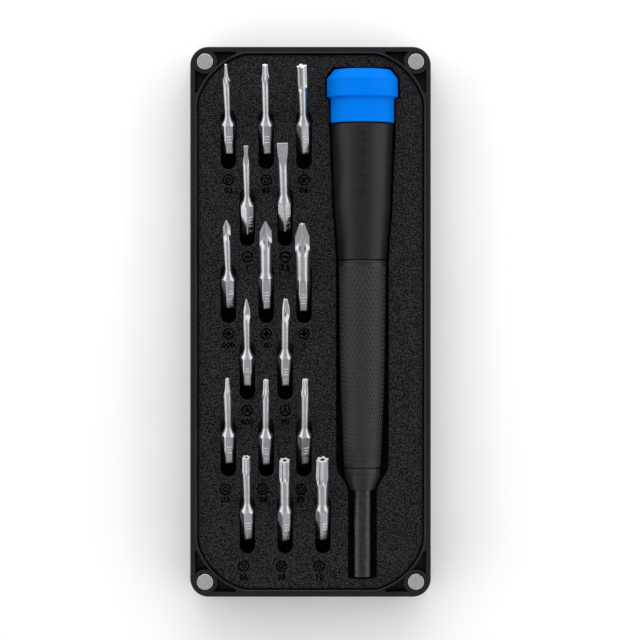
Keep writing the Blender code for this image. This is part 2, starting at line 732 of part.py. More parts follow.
def make_upper_body(axis):
    """The smooth, waisted upper half of the handle, with a neck and a spigot."""
    neck = (
        (NECK_HOLE_END, 0.0),
        (NECK_HOLE_END, NECK_HOLE_RADIUS),
        (NECK_START, NECK_HOLE_RADIUS),
        (NECK_START, NECK_RADIUS),
        (BODY_START, NECK_RADIUS),
    )
    spigot = (
        (BODY_END, SPIGOT_RADIUS),
        (SPIGOT_END, SPIGOT_RADIUS),
        (SPIGOT_END, 0.0),
    )
    add_piece("handle_upper_body", turned(neck + BODY_PROFILE + spigot, DRIVER_SIDES), HANDLE_BLACK, axis)


def make_grip(axis):
    """The tapering grip sleeve, bored at one end for the spigot and at the other for the shaft."""
    spigot_bore = SPIGOT_RADIUS + GAP
    shaft_bore = SHAFT_RADIUS + GAP
    profile = GRIP_PROFILE + (
        (GRIP_END, shaft_bore),
        (SHAFT_START - GAP, shaft_bore),
        (SHAFT_START - GAP, shaft_bore * 0.5),
        (GRIP_SPIGOT_BORE_END, shaft_bore * 0.5),
        (GRIP_SPIGOT_BORE_END, spigot_bore),
        (GRIP_START, spigot_bore),
    )
    add_piece("knurled_grip", turned(profile, DRIVER_SIDES, ring_shaped=True), HANDLE_BLACK, axis)


def make_nose_collar(axis):
    """The smooth collar and cone between the grip and the shaft."""
    bore = SHAFT_RADIUS + GAP
    profile = (
        (COLLAR_START, bore),
        (COLLAR_START, COLLAR_RADIUS),
        (COLLAR_BAND_END, COLLAR_RADIUS),
        (COLLAR_END, COLLAR_END_RADIUS),
        (COLLAR_END, bore),
    )
    add_piece("nose_collar", turned(profile, DRIVER_SIDES, ring_shaped=True), HANDLE_BLACK, axis)


def make_socket_shaft(axis):
    """The shaft with its hexagonal bit socket, and the magnet at the socket's bottom."""
    profile = (
        (SHAFT_START, 0.0),
        (SHAFT_START, SHAFT_RADIUS),
        (SHAFT_END - SHAFT_CHAMFER, SHAFT_RADIUS),
        (SHAFT_END, SHAFT_RADIUS - SHAFT_CHAMFER),
        (SHAFT_END, 0.0),
    )
    shaft = add_piece("socket_shaft", turned(profile, 32), SHAFT_BLACK, axis)
    corner = SOCKET_ACROSS_FLATS / math.sqrt(3)
    socket_bottom = SHAFT_END - SOCKET_DEPTH
    socket = prism(circle(0.0, 0.0, corner, sides=6), socket_bottom, SHAFT_END + OVERCUT)
    seat_bottom = socket_bottom - SOCKET_MAGNET_LENGTH - GAP
    seat_radius = SOCKET_MAGNET_RADIUS + GAP
    seat = prism(circle(0.0, 0.0, seat_radius, sides=20), seat_bottom, socket_bottom + OVERCUT)
    combine(shaft, add_cutter("socket_cutter", socket, axis), "DIFFERENCE")
    combine(shaft, add_cutter("magnet_seat_cutter", seat, axis), "DIFFERENCE")
    magnet_start = seat_bottom + GAP
    magnet = (
        (magnet_start, 0.0),
        (magnet_start, SOCKET_MAGNET_RADIUS),
        (magnet_start + SOCKET_MAGNET_LENGTH, SOCKET_MAGNET_RADIUS),
        (magnet_start + SOCKET_MAGNET_LENGTH, 0.0),
    )
    add_piece("socket_magnet", turned(magnet, 20), MAGNET_METAL, axis)


def make_driver():
    """The driver, lying with its cap towards +Y; the cap turns about its own axis empty."""
    driver_axis = make_axis("driver_axis")
    make_swivel_cap(make_axis("cap_axis"))
    make_swivel_bearing(driver_axis)
    make_upper_body(driver_axis)
    make_grip(driver_axis)
    make_nose_collar(driver_axis)
    make_socket_shaft(driver_axis)


def main():
    """Build the whole set."""
    clear_scene()
    make_tray()
    make_magnets()
    make_insert()
    for bit in BITS:
        make_bit(bit)
    make_driver()


main()
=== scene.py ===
"""The looks of the precision screwdriver set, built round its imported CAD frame.

Metres, +Z up, the same frame as the CAD model: the origin is the centre of the tray's underside, the
driver lies on the +X side with its cap towards +Y, and the bits lie tilted in rows on the -X side.
Every piece is modelled at its place, with its object at the origin.
"""

from collections import namedtuple
from math import cos, dist, pi, radians, sin, sqrt, tan
from operator import sub

import bmesh
import bpy
from mathutils import Matrix, Vector


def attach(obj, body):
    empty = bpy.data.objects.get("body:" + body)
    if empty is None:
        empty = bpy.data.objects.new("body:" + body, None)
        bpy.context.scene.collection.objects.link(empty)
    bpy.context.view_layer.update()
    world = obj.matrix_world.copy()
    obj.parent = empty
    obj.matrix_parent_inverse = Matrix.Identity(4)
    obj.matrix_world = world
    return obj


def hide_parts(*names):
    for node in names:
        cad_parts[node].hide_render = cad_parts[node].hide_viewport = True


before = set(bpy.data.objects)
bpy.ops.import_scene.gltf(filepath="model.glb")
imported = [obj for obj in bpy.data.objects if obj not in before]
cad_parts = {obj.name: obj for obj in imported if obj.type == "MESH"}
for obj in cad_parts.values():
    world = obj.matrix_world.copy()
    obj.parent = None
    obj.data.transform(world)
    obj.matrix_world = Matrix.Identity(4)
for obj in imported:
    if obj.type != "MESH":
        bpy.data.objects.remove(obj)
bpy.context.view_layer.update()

MM = 0.001
OVERCUT = 1.0 * MM  # how far a cutter runs past the surface that it opens
SKIM = 0.03 * MM  # how far a cutter's rounded or chamfered mouth runs past that surface
TINY = 1e-6  # below this, two points or two directions are the same
SHARP_ANGLE = radians(32)
BIT_SHARP_ANGLE = radians(16)
ROUND_SIDES = 72  # sides of a magnet, a bit or the shaft

# Tray
CASE_WIDTH = 70.0 * MM
CASE_LENGTH = 160.0 * MM
CASE_CORNER_RADIUS = 5.3 * MM
RIM_TOP = 15.6 * MM
FLOOR_THICKNESS = 2.0 * MM
RIM_WIDTH = 1.45 * MM
BASE_CHAMFER = 0.8 * MM
RIM_ROUND = 0.3 * MM
LIP_HEIGHT = 0.5 * MM
LIP_THICKNESS = 0.6 * MM
LIP_LEDGE = 0.2 * MM
LIP_ROUND = 0.27 * MM
POCKET_DEPTH = 9.0 * MM
POCKET_MARGIN_DEG = 2.0
POCKET_EDGE = 0.12 * MM
CORNER_END_RADIUS = 8.0 * MM
CORNER_MIDDLE_RADIUS = 20.5 * MM
CORNER_END_TURN_DEG = 20.0

# Corner magnets
MAGNET_RADIUS = 2.35 * MM
MAGNET_THICKNESS = 2.0 * MM
MAGNET_EDGE = 0.18 * MM
MAGNET_INSET = 4.3 * MM
MAGNET_GAP = 0.25 * MM
BOSS_RADIUS = 3.6 * MM

# Foam insert
FOAM_TOP = 15.2 * MM
FOAM_BOTTOM = 2.3 * MM
FOAM_GAP = 0.3 * MM
FOAM_EDGE = 0.3 * MM
SLOT_EDGE = 0.22 * MM
SLOT_WIDTH = 4.5 * MM
SLOT_LENGTH = 17.1 * MM
SLOT_CLEARANCE = 0.3 * MM
SLOT_FRONT_DEPTH = 0.8 * MM
RECESS_CLEARANCE = 0.35 * MM
RECESS_EDGE = 0.25 * MM
RECESS_NOSE_END = 121.9 * MM
GRIP_FLOOR = 5.57 * MM  # the height of the recess's floor below the grip
SHAFT_FLOOR = 9.7 * MM

# Bits
HEX_ACROSS_FLATS = 3.9 * MM
HEX_CORNER_RADIUS = 2.15 * MM
SHANK_LENGTH = 8.9 * MM
SHANK_EDGE = 0.3 * MM
CONE_LENGTH = 1.2 * MM
CONE_END_STEP = 0.42 * MM  # how far the cone ends above the shaft, where its hollow flare starts
CONE_LEAST_DROP = 0.05 * MM  # how much the cone narrows at least, above a thick shaft
FLAT_REACH = 0.8  # how far up the cone the flats run at most, as a share of its length
FLARE_LENGTH = 2.1 * MM
FLARE_STEPS = 4
BLADE_LENGTH = 19.1 * MM
END_FACE_DEPTH = 0.05 * MM  # how near the tip a face has to lie to be ground matt
BIT_TILT = radians(30.0)
COLLAR_HEIGHT = FOAM_TOP + 0.3 * MM
BIT_RING_STEP = 0.25 * MM
BIT_LEAST_STEP = 0.05 * MM
ROW_PITCH = 22.4 * MM
COLUMN_PITCH = 11.0 * MM
FIRST_SLOT_BACK_Y = 44.45 * MM
OUTER_COLUMN_X = -23.9 * MM
ROW_SEATS = [seat * MM for seat in (13.1, 12.4, 12.6, 12.5, 12.4, 12.5)]

# The number and the bars etched into the flat of a shank that faces up
ETCH_DEPTH = 0.1 * MM
ETCH_HEIGHT = 1.25 * MM
ETCH_MARGIN = 0.3 * MM
FIGURE_WIDTH = 1.05 * MM
BAR_START = 1.6 * MM
BAR_PITCH = 0.95 * MM
BAR_WIDTH = 0.3 * MM
BAR_HALF_LENGTHS = (0.75 * MM, 0.5 * MM)
MARKS_ON_SHANK = 5  # figures and bars together

# Marks pressed into the foam below each slot; the drops and shifts are one for each row
MARK_DEPTH = 0.6 * MM
MARK_LINE = 0.42 * MM
MARK_RADIUS = 1.65 * MM
NUMBER_HEIGHT = 1.55 * MM
NUMBER_BOLDNESS = 0.09 * MM
TEXT_SIZE = 1.42  # the size of a text whose figures are 1 high
MARK_DROPS = [drop * MM for drop in (3.15, 3.15, 3.15, 3.05, 3.55, 3.55)]
NUMBER_DROPS = [drop * MM for drop in (6.25, 6.35, 6.55, 6.45, 6.65, 6.85)]
MARK_SHIFTS = [shift * MM for shift in (0.0, 0.0, 0.0, 0.0, -0.9, -1.05)]

# Driver, measured along its axis from just off the cap's face towards the socket
DRIVER_X = 15.1 * MM
DRIVER_HEIGHT = 13.0 * MM
DRIVER_CAP_END_Y = 73.7 * MM
DRIVER_SIDES = 120
CAP_FACE = 0.35 * MM
CAP_FACE_RADIUS = 8.37 * MM
CAP_RADIUS = 10.45 * MM
CAP_BORE = 7.6 * MM
SKIRT_RADIUS = 9.34 * MM
SKIRT_END = 15.8 * MM
BODY_SHOULDER = (16.6 * MM, 9.08 * MM)  # position, radius
BODY_WAIST = (40.6 * MM, 8.31 * MM)
BODY_END = 55.6 * MM
SIGN_START = 20.2 * MM
SIGN_PITCH = 4.05 * MM
SIGN_RADIUS = 1.45 * MM
SIGN_LINE = 0.3 * MM
SIGN_DEPTH = 0.22 * MM
SPIGOT_RADIUS = 4.6 * MM
SPIGOT_END = 68.0 * MM
SPIGOT_BORE = 4.9 * MM
SEAT_GAP = 0.3 * MM
GRIP_START = 55.9 * MM
GRIP_END = 116.0 * MM
GRIP_PROFILE = (  # position, radius
    (GRIP_START, 7.13 * MM),
    (75.5 * MM, 6.84 * MM),
    (93.6 * MM, 6.47 * MM),
    (GRIP_END, 5.44 * MM),
)
CORE_BORE = 1.65 * MM
KNURL_START = 57.0 * MM
KNURL_COUNT = 30
KNURL_PITCH = 2.55 * MM
KNURL_DEPTH = 0.2 * MM
KNURL_FADE = 0.8 * MM  # over this length the knurl starts and ends
KNURL_LAND = 0.3  # the share of the wave that stays uncut
KNURL_RISE = 0.5  # the share over which a dimple reaches its depth
KNURL_POWER = 1.5
KNURL_SAMPLES_AROUND = 8
KNURL_SAMPLES_ALONG = 12
SHAFT_BORE = 3.3 * MM
SHAFT_RADIUS = 3.0 * MM
SHAFT_EDGE = 0.3 * MM
SHAFT_START = 96.0 * MM
SHAFT_END = 148.1 * MM
SOCKET_ACROSS_FLATS = 4.1 * MM
SOCKET_DEPTH = 9.0 * MM
SOCKET_EDGE = 0.15 * MM
MAGNET_SEAT_RADIUS = 1.9 * MM
MAGNET_SEAT_DEPTH = 2.1 * MM

# Camera and lights
CAMERA_PLACE = (2.76 * MM, 0.52 * MM, 915.4 * MM)
CAMERA_LENS = 174.0
CAMERA_SENSOR = 36.0
FLOOR_REACH = 3.0
SKY_COLOUR = (0.98, 0.99, 1.0, 1.0)
SKY_STRENGTH = 0.62
SOFTBOXES = (  # name, place, width, length, watts
    ("left_softbox", (-0.46, 0.0, 0.22), 1.24, 0.44, 2.1),
    ("right_softbox", (0.46, 0.0, 0.22), 1.24, 0.44, 2.1),
    ("back_softbox", (0.0, 0.55, 0.4), 0.7, 0.45, 2.6),
)

# One bit, with its lengths in millimetres. Its stations are (distance back from the tip, diameter), the
# last one where the round shaft starts, and shaft_root is the shaft's diameter at the collar. The bit is
# rolled about its axis, slipped down its slot, shifted across it and turned sideways, and it may be short.
Bit = namedtuple(
    "Bit", "name row column number section shaft_root roll_deg slip shift turn_deg short stations")
BITS = (
    Bit("five_lobe_2", 0, 0, "02", "five_lobe", 1.85, 4, 0, 0, 1.4, 0,
        ((0, 0.75), (2.4, 0.95), (3.9, 1.25), (5.1, 2.3), (6.9, 2.1))),
    Bit("five_lobe_5", 0, 1, "05", "five_lobe", 2.08, 8, 0, 0, 0.6, 0.2,
        ((0, 1.65), (2.5, 1.95), (3.9, 2.55), (6.4, 2.25))),
    Bit("standoff_4", 0, 2, "04", "standoff", 2.3, 14, 0, 0, 1.8, 0.5,
        ((0, 2.88), (5.4, 2.82), (6.7, 2.7), (8.0, 2.55))),
    Bit("slotted_1", 1, 0, "1", "slotted", 1.92, 30, 0.4, 0, 0.5, 0,
        ((0, 1.35), (2.6, 1.15), (4.8, 2.05), (6.1, 2.2))),
    Bit("slotted_2_5", 1, 1, "2.5", "slotted", 2.8, 30, -0.4, -0.15, 1.5, 0,
        ((0, 3.1), (4.0, 3.05), (6.1, 2.85), (7.4, 2.9))),
    Bit("cross_000", 2, 0, "000", "cross", 1.95, 16, -0.3, 0.1, 1.2, 0,
        ((0, 0.5), (2.1, 2.15), (4.9, 2.2), (6.7, 2.2))),
    Bit("cross_0", 2, 1, "0", "cross", 3.4, 8, 0, -0.1, -0.1, 0,
        ((0, 0.5), (3.1, 3.6), (6.8, 3.6), (8.6, 3.5))),
    Bit("cross_1", 2, 2, "1", "cross", 4.1, 0, 0.6, -0.2, 0.9, 0,
        ((0, 1.5), (3.9, 4.25), (7.6, 4.25), (10.2, 4.2))),
    Bit("three_point_000", 3, 0, "000", "three_point", 1.93, 0, -0.15, 0, 0.2, 0,
        ((0, 0.5), (3.4, 2.1), (6.1, 2.2), (7.4, 2.2))),
    Bit("three_point_0", 3, 1, "00", "three_point", 2.32, 6, -0.15, 0, -0.4, 0,
        ((0, 1.34), (3.0, 2.5), (6.1, 2.5), (8.2, 2.45))),
    Bit("star_3", 4, 0, "03", "star", 2.1, 5, 0, 0, 0.1, 0.2,
        ((0, 1.05), (3.5, 1.4), (5.4, 2.2), (6.5, 2.3))),
    Bit("star_4", 4, 1, "04", "star", 2.02, 8, 0.4, -0.2, -0.9, 0.2,
        ((0, 1.55), (3.0, 1.65), (5.3, 2.2), (6.9, 2.25))),
    Bit("star_5", 4, 2, "05", "star", 2.2, 15, 0.3, 0.1, -0.9, 0.2,
        ((0, 1.75), (2.6, 1.85), (5.0, 2.5), (6.4, 2.4))),
    Bit("security_star_6", 5, 0, "06", "hollow_star", 2.16, 12, -0.1, 0, 0.2, 0.7,
        ((0, 2.3), (3.7, 2.45), (5.0, 2.5), (6.4, 2.4))),
    Bit("security_star_8", 5, 1, "08", "hollow_star", 3.05, 18, 0.4, -0.1, -0.3, 1.2,
        ((0, 3.2), (5.0, 3.35), (6.4, 3.25), (7.7, 3.15))),
    Bit("security_star_10", 5, 2, "10", "hollow_star", 3.25, 18, 0.15, -0.15, -0.1, 1.2,
        ((0, 3.65), (6.1, 4.05), (7.6, 3.7), (9.1, 3.45))),
)
WINGS = {"slotted": 2, "three_point": 3, "cross": 4, "standoff": 4}
WING_THICKNESS = {"three_point": 0.3, "cross": 0.26, "standoff": 0.34}
BLADE_TIP_THICKNESS = 0.4 * MM
LOBES = {"five_lobe": 5, "star": 6, "hollow_star": 6}
LOBE_DEPTH = {"five_lobe": 0.3, "star": 0.28, "hollow_star": 0.26}
HOLE_SHARE = 0.36
HOLE_DEPTH = 2.0 * MM
NUB_SHARE = 0.3
NUB_LENGTH = 0.4 * MM
NUB_CHAMFER = 0.4  # as a share of the nub's radius

# Drive signs: how far the sign reaches as a share of its circle, the turn of its arms, and half their
# width as a share of the line
SIGN_SHARE = 0.58
ARM_TURN = {"slotted": 0.0, "three_point": pi / 2, "cross": 0.0, "standoff": pi / 4}
ARM_SHARE = {"slotted": 0.55, "three_point": 0.55, "cross": 0.75, "standoff": 0.55}
BODY_SIGNS = ("slotted", "cross", "star", "three_point", "five_lobe")


# -------- objects

def linked(name, data):
    """A new object in the scene."""
    added = bpy.data.objects.new(name, data)
    bpy.context.collection.objects.link(added)
    return added


def add_object(name, shape):
    """Turn a bmesh into a named object, with its faces pointing out."""
    bmesh.ops.recalc_face_normals(shape, faces=shape.faces)
    mesh = bpy.data.meshes.new(name)
    shape.to_mesh(mesh)
    shape.free()
    return linked(name, mesh)


def evaluated_mesh(piece):
    """A new mesh of a piece with its modifiers, or of a text."""
    graph = bpy.context.evaluated_depsgraph_get()
    return bpy.data.meshes.new_from_object(piece.evaluated_get(graph))


def carve(piece, cutter, operation="DIFFERENCE"):
    """Cut a piece with a cutter, or join them, and remove the cutter."""
    modifier = piece.modifiers.new("carve", "BOOLEAN")
    modifier.operation = operation
    modifier.solver = "EXACT"
    modifier.object = cutter
    mesh = evaluated_mesh(piece)
    piece.modifiers.clear()
    piece.data = mesh
    bpy.data.objects.remove(cutter, do_unlink=True)


def dress(piece, materials, body, node, sharp_angle=SHARP_ANGLE):
    """Give a piece its materials and its smooth shading, and put it on its body."""
    slots = piece.data.materials
    while len(slots) < len(materials):
        slots.append(None)
    for place, material in enumerate(materials):
        slots[place] = material
    piece.data.shade_smooth()
    piece.data.set_sharp_from_angle(angle=sharp_angle)
    normals = piece.modifiers.new("even_normals", "WEIGHTED_NORMAL")
    normals.keep_sharp = True
    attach(piece, body)
    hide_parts(node)


# -------- meshes

def loft(shape, rings, closed=False):
    """Join rings of equally many points, or of one, with flat ends or, if closed, last to first."""
    loops = [[shape.verts.new(point) for point in ring] for ring in rings]
    pairs = list(zip(loops, loops[1:]))
    if closed:
        pairs.append((loops[-1], loops[0]))
    for lower, upper in pairs:
        for i in range(max(len(lower), len(upper))):
            corners = [lower[i % len(lower)], lower[(i + 1) % len(lower)]]
            corners += [upper[(i + 1) % len(upper)], upper[i % len(upper)]]
            shape.faces.new(list(dict.fromkeys(corners)))
    if not closed:
        for end in (loops[0][::-1], loops[-1]):
            if len(end) > 1:
                shape.faces.new(end)


def stack(outline_at, levels):
    """Rings of one family of outlines, at (height, inset) levels."""
    return [[(x, y, z) for x, y in outline_at(inset)] for z, inset in levels]


def lofted(name, outline_at, levels):
    """An object through one family of outlines."""
    shape = bmesh.new()
    loft(shape, stack(outline_at, levels))
    return add_object(name, shape)


def ring(angles, radius_at, along_at):
    """Points about the Z axis, with the radius and the height as functions of the angle."""
    return [(radius_at(a) * cos(a), radius_at(a) * sin(a), along_at(a)) for a in angles]


def round_ring(angles, radius, along):
    """A level round ring."""
    return ring(angles, lambda a: radius, lambda a: along)


def add_prism(shape, outline, bottom, top, hole=None):
    """Add a straight solid over an outline to a shape, with a hole of equally many points or without."""
    levels = [(outline, bottom), (outline, top)]
    if hole:
        levels += [(hole, top), (hole, bottom)]
    loft(shape, [[(x, y, z) for x, y in points] for points, z in levels], closed=bool(hole))


def turned(profile, sides, ring_shaped=False):
    """Turn a profile of (position along Z, radius) points about the Z axis."""
    shape = bmesh.new()
    rings = [round_ring(full_turn(sides if radius else 1), radius, along) for along, radius in profile]
    loft(shape, rings, ring_shaped)
    return shape


# -------- outlines and profiles

def full_turn(sides):
    """Evenly spaced angles, once round."""
    return [2 * pi * i / sides for i in range(sides)]


def points_round(centre_x, centre_y, radius, angles):
    """The points round a centre that lie at these angles."""
    return [(centre_x + radius * cos(a), centre_y + radius * sin(a)) for a in angles]


def circle(centre_x, centre_y, radius, sides=64):
    """A round outline."""
    return points_round(centre_x, centre_y, radius, full_turn(sides))


def along_line(points, place):
    """The value at a place on a line of (place, value) points, level past its last point."""
    for (start, first), (end, last) in zip(points, points[1:]):
        if place <= end:
            return first + (last - first) * (place - start) / (end - start)
    return points[-1][1]


def rounded(points, steps=5, closed=False):
    """Replace the corners of a line of (x, y, radius) points by arcs."""
    made = []
    for i, (x, y, radius) in enumerate(points):
        at_end = not closed and i in (0, len(points) - 1)
        if radius == 0 or at_end:
            made.append((x, y))
            continue
        corner = Vector((x, y))
        to_before = (Vector(points[i - 1][:2]) - corner).normalized()
        to_after = (Vector(points[(i + 1) % len(points)][:2]) - corner).normalized()
        half_angle = to_before.angle(to_after) / 2
        middle = (to_before + to_after).normalized()
        centre = corner + middle * radius / sin(half_angle)
        start = corner + to_before * radius / tan(half_angle) - centre
        end = corner + to_after * radius / tan(half_angle) - centre
        sweep = start.angle_signed(end)
        for step in range(steps + 1):
            turned_by = Matrix.Rotation(-sweep * step / steps, 2)
            made.append(tuple(centre + turned_by @ start))
    return made


def offset(outline, distance):
    """Move every side of a counter-clockwise outline out by a distance."""
    moved = []
    count = len(outline)
    for i in range(count):
        before, here, after = (Vector(outline[(i + k) % count]) for k in (-1, 0, 1))
        first = (here - before).normalized()
        second = (after - here).normalized()
        first_normal = Vector((first.y, -first.x))
        second_normal = Vector((second.y, -second.x))
        step = (first_normal + second_normal) / (1 + first_normal.dot(second_normal))
        moved.append(tuple(here + step * distance))
    return moved


def round_edge(top, radius, steps=3):
    """Levels of (height, outward step) by which a hole's mouth opens out in an arc and past the top."""
    last = radians(75)
    levels = []
    for step in range(steps + 1):
        angle = last * step / steps
        levels.append((top - radius + radius * sin(angle), radius - radius * cos(angle)))
    height, reach = levels[-1]
    levels.append((top + SKIM, reach + (top + SKIM - height) * tan(last)))
    return levels


def chamfered_edge(top, width):
    """Levels by which a hole's mouth opens out in a chamfer and past the top."""
    return [(top - width, 0.0), (top + SKIM, width + SKIM)]


def add_hole(shape, outline, floor, mouth):
    """Add a cutter with an opened mouth over an outline; the floor is a height for each (x, y)."""
    rings = [[(x, y, floor(x, y)) for x, y in outline]]
    rings += [[(x, y, z) for x, y in offset(outline, reach)] for z, reach in mouth]
    loft(shape, rings)


def four_corners(quarter):
    """Complete a counter-clockwise outline from its first-quadrant corner."""
    half = quarter + [(-x, y) for x, y in quarter[::-1]]
    return half + [(-x, -y) for x, y in half]


def rounded_corner(half_width, half_length, radius, steps=16):
    """The first-quadrant corner of a rounded rectangle."""
    angles = [pi / 2 * i / steps for i in range(steps + 1)]
    return points_round(half_width - radius, half_length - radius, radius, angles)


def case_outline(inset):
    """The tray's outer outline, drawn in by an inset."""
    radius = CASE_CORNER_RADIUS - inset
    return four_corners(rounded_corner(CASE_WIDTH / 2 - inset, CASE_LENGTH / 2 - inset, radius))


def cut_corner(inset, first_heading=90.0, last_heading=180.0):
    """The lip's first-quadrant corner: three arcs that turn from +Y to -X.

    The inset is measured from the lip's outer side. A part of the corner is chosen by headings in
    degrees.
    """
    end_radius = CORNER_END_RADIUS - inset
    middle_radius = CORNER_MIDDLE_RADIUS - inset
    end_arc = (CORNER_END_TURN_DEG, end_radius, 6)  # turn, radius, steps
    middle_arc = (90 - 2 * CORNER_END_TURN_DEG, middle_radius, 20)
    bend = [radians(CORNER_END_TURN_DEG), radians(90 - CORNER_END_TURN_DEG)]
    reach = end_radius * (1 - cos(bend[0]) + sin(bend[0]))
    reach += middle_radius * (sin(bend[1]) - sin(bend[0]))
    x = CASE_WIDTH / 2 - RIM_WIDTH - inset
    y = CASE_LENGTH / 2 - RIM_WIDTH - inset - reach
    heading = 90.0
    points = []
    for turn, radius, count in (end_arc, middle_arc, end_arc):
        centre_x = x - radius * sin(radians(heading))
        centre_y = y + radius * cos(radians(heading))
        for i in range(count + 1):
            angle = heading + turn * i / count
            x = centre_x + radius * sin(radians(angle))
            y = centre_y - radius * cos(radians(angle))
            if first_heading <= angle <= last_heading:
                points.append((x, y))
        heading += turn
    return spaced(points, dist, TINY)


def spaced(items, gap, least):
    """Drop the items whose gap to the one kept before them isn't above the least."""
    kept = items[:1]
    for item in items[1:]:
        if gap(kept[-1], item) > least:
            kept.append(item)
    return kept


def insert_outline(inset):
    """The outline of the lip, the well and the insert, drawn in from the lip's outer side."""
    return four_corners(cut_corner(inset))


def stadium(centre_x, back, front, width, steps=12):
    """A slot outline with round ends, along Y."""
    radius = width / 2
    points = []
    for centre_y, start in ((front - radius, 0.0), (back + radius, pi)):
        angles = [start + pi * i / steps for i in range(steps + 1)]
        points += points_round(centre_x, centre_y, radius, angles)
    return points


# -------- materials

class Recipe:
    """A Principled material whose colour, roughness and relief come from procedural textures."""

    def __init__(self, name, metallic=0.0, specular=0.5):
        self.material = bpy.data.materials.new(name)
        self.material.use_nodes = True
        self.tree = self.material.node_tree
        self.shader = self.tree.nodes["Principled BSDF"]
        self.shader.inputs["Metallic"].default_value = metallic
        self.shader.inputs["Specular IOR Level"].default_value = specular
        self.place = self.add("ShaderNodeTexCoord").outputs["Object"]

    def add(self, kind, **inputs):
        """Add a node with some of its inputs set."""
        node = self.tree.nodes.new(kind)
        for socket, value in inputs.items():
            node.inputs[socket.replace("_", " ")].default_value = value
        return node

    def link(self, output, node, socket):
        """Link an output to a node's input."""
        self.tree.links.new(output, node.inputs[socket])

    def noise(self, size, detail=2.0, stretch=(1.0, 1.0, 1.0)):
        """Noise with grains of a size in metres, drawn out along an axis by its stretch."""
        mapping = self.add("ShaderNodeMapping", Scale=[1 / (size * s) for s in stretch])
        texture = self.add("ShaderNodeTexNoise", Scale=1.0, Detail=detail)
        self.link(self.place, mapping, "Vector")
        self.link(mapping.outputs["Vector"], texture, "Vector")
        return texture.outputs["Fac"]

    def colour(self, pattern, dark, light, low=0.35, high=0.65):
        """Colour the surface from dark to light by a pattern."""
        ramp = self.add("ShaderNodeValToRGB")
        for stop, position, colour in zip(ramp.color_ramp.elements, (low, high), (dark, light)):
            stop.position = position
            stop.color = (*colour, 1.0)
        self.link(pattern, ramp, "Fac")
        self.link(ramp.outputs["Color"], self.shader, "Base Color")

    def roughness(self, pattern, smooth, rough):
        """Let the roughness vary by a pattern."""
        spread = self.add("ShaderNodeMapRange", From_Min=0.3, From_Max=0.7, To_Min=smooth, To_Max=rough)
        self.link(pattern, spread, "Value")
        self.link(spread.outputs["Result"], self.shader, "Roughness")

    def relief(self, pattern, height):
        """Raise the surface by a pattern."""
        bump = self.add("ShaderNodeBump", Strength=1.0, Distance=height)
        self.link(pattern, bump, "Height")
        self.link(bump.outputs["Normal"], self.shader, "Normal")


def moulded_plastic(name, dark, light, roughness, specular, grain=0.12 * MM, height=0.004 * MM):
    """Plastic with a fine spark-eroded grain and slight variation in tone and gloss."""
    recipe = Recipe(name, specular=specular)
    recipe.colour(recipe.noise(3.0 * MM, detail=4.0), dark, light)
    recipe.roughness(recipe.noise(0.6 * MM), roughness - 0.05, roughness + 0.05)
    recipe.relief(recipe.noise(grain, detail=3.0), height)
    return recipe.material


def grey(value):
    """An even grey, very slightly cool."""
    return (value, value, value * 1.04)


def foam_material():
    """Closed-cell foam with a fine, uneven skin."""
    recipe = Recipe("charcoal_foam", specular=0.12)
    pores = (0.0004, 0.0004, 0.0004)
    skin = (0.031, 0.030, 0.0325)
    recipe.colour(recipe.noise(0.36 * MM, detail=3.0), pores, skin, low=0.45, high=0.6)
    recipe.roughness(recipe.noise(0.5 * MM), 0.8, 0.95)
    recipe.relief(recipe.noise(0.4 * MM, detail=4.0), 0.12 * MM)
    return recipe.material


def pressed_foam_and_shade_material():
    """Foam that heat has pressed flat, a little smoother, and near black: partly its own darker tone,
    partly painted shade for the deep grooves of the marks.
    """
    # near-black colour and almost no specular: painted shade in the pressed marks' grooves, over the
    # pressed foam's own darker tone
    recipe = Recipe("pressed_foam_and_shade", specular=0.005)
    recipe.colour(recipe.noise(0.3 * MM), (0.0005, 0.0005, 0.0005), (0.002, 0.002, 0.002))
    recipe.roughness(recipe.noise(0.3 * MM), 0.6, 0.8)
    recipe.relief(recipe.noise(0.2 * MM), 0.02 * MM)
    return recipe.material


def steel(name, dark, light, smooth, rough, stretch=(1.0, 1.0, 1.0), height=0.0015 * MM):
    """Machined steel with fine tool marks, drawn out along one axis."""
    recipe = Recipe(name, metallic=1.0)
    recipe.colour(recipe.noise(1.2 * MM, detail=4.0), grey(dark), grey(light))
    recipe.roughness(recipe.noise(0.3 * MM, stretch=stretch), smooth, rough)
    recipe.relief(recipe.noise(0.12 * MM, detail=3.0, stretch=stretch), height)
    return recipe.material


def make_materials():
    """Every material of the set, by name."""
    return {
        "case": moulded_plastic("case_plastic", grey(0.005), grey(0.0065), 0.32, 0.26),
        "foam": foam_material(),
        # the pressed foam is near black partly as painted shade for the marks' grooves
        "pressed": pressed_foam_and_shade_material(),
        "magnet": steel("nickel_magnet", 0.5, 0.58, 0.16, 0.22, (6.0, 0.8, 1.0), 0.0005 * MM),
        "bit": steel("blasted_steel", 0.43, 0.49, 0.27, 0.33, height=0.0003 * MM),
        "turned": steel("turned_steel", 0.48, 0.54, 0.3, 0.36, height=0.0005 * MM),
        "etched": steel("etched_steel", 0.8, 0.88, 0.6, 0.7),
        "cap": moulded_plastic("blue_cap", (0.0, 0.155, 0.67), (0.0, 0.165, 0.7), 0.4, 0.02),
        "body": moulded_plastic("soft_black", grey(0.005), grey(0.0065), 0.42, 0.27, grain=0.09 * MM),
        "grip": moulded_plastic("grip_black", grey(0.009), grey(0.012), 0.42, 0.34),
        "shaft": steel("black_oxide", 0.034, 0.05, 0.3, 0.38, (1.0, 8.0, 1.0), 0.0005 * MM),
        "bushing": moulded_plastic("natural_acetal", (0.5, 0.49, 0.45), (0.58, 0.57, 0.53), 0.45, 0.5),
        "screw": steel("zinc_steel", 0.42, 0.5, 0.3, 0.4),
        "floor": floor_material(),
    }


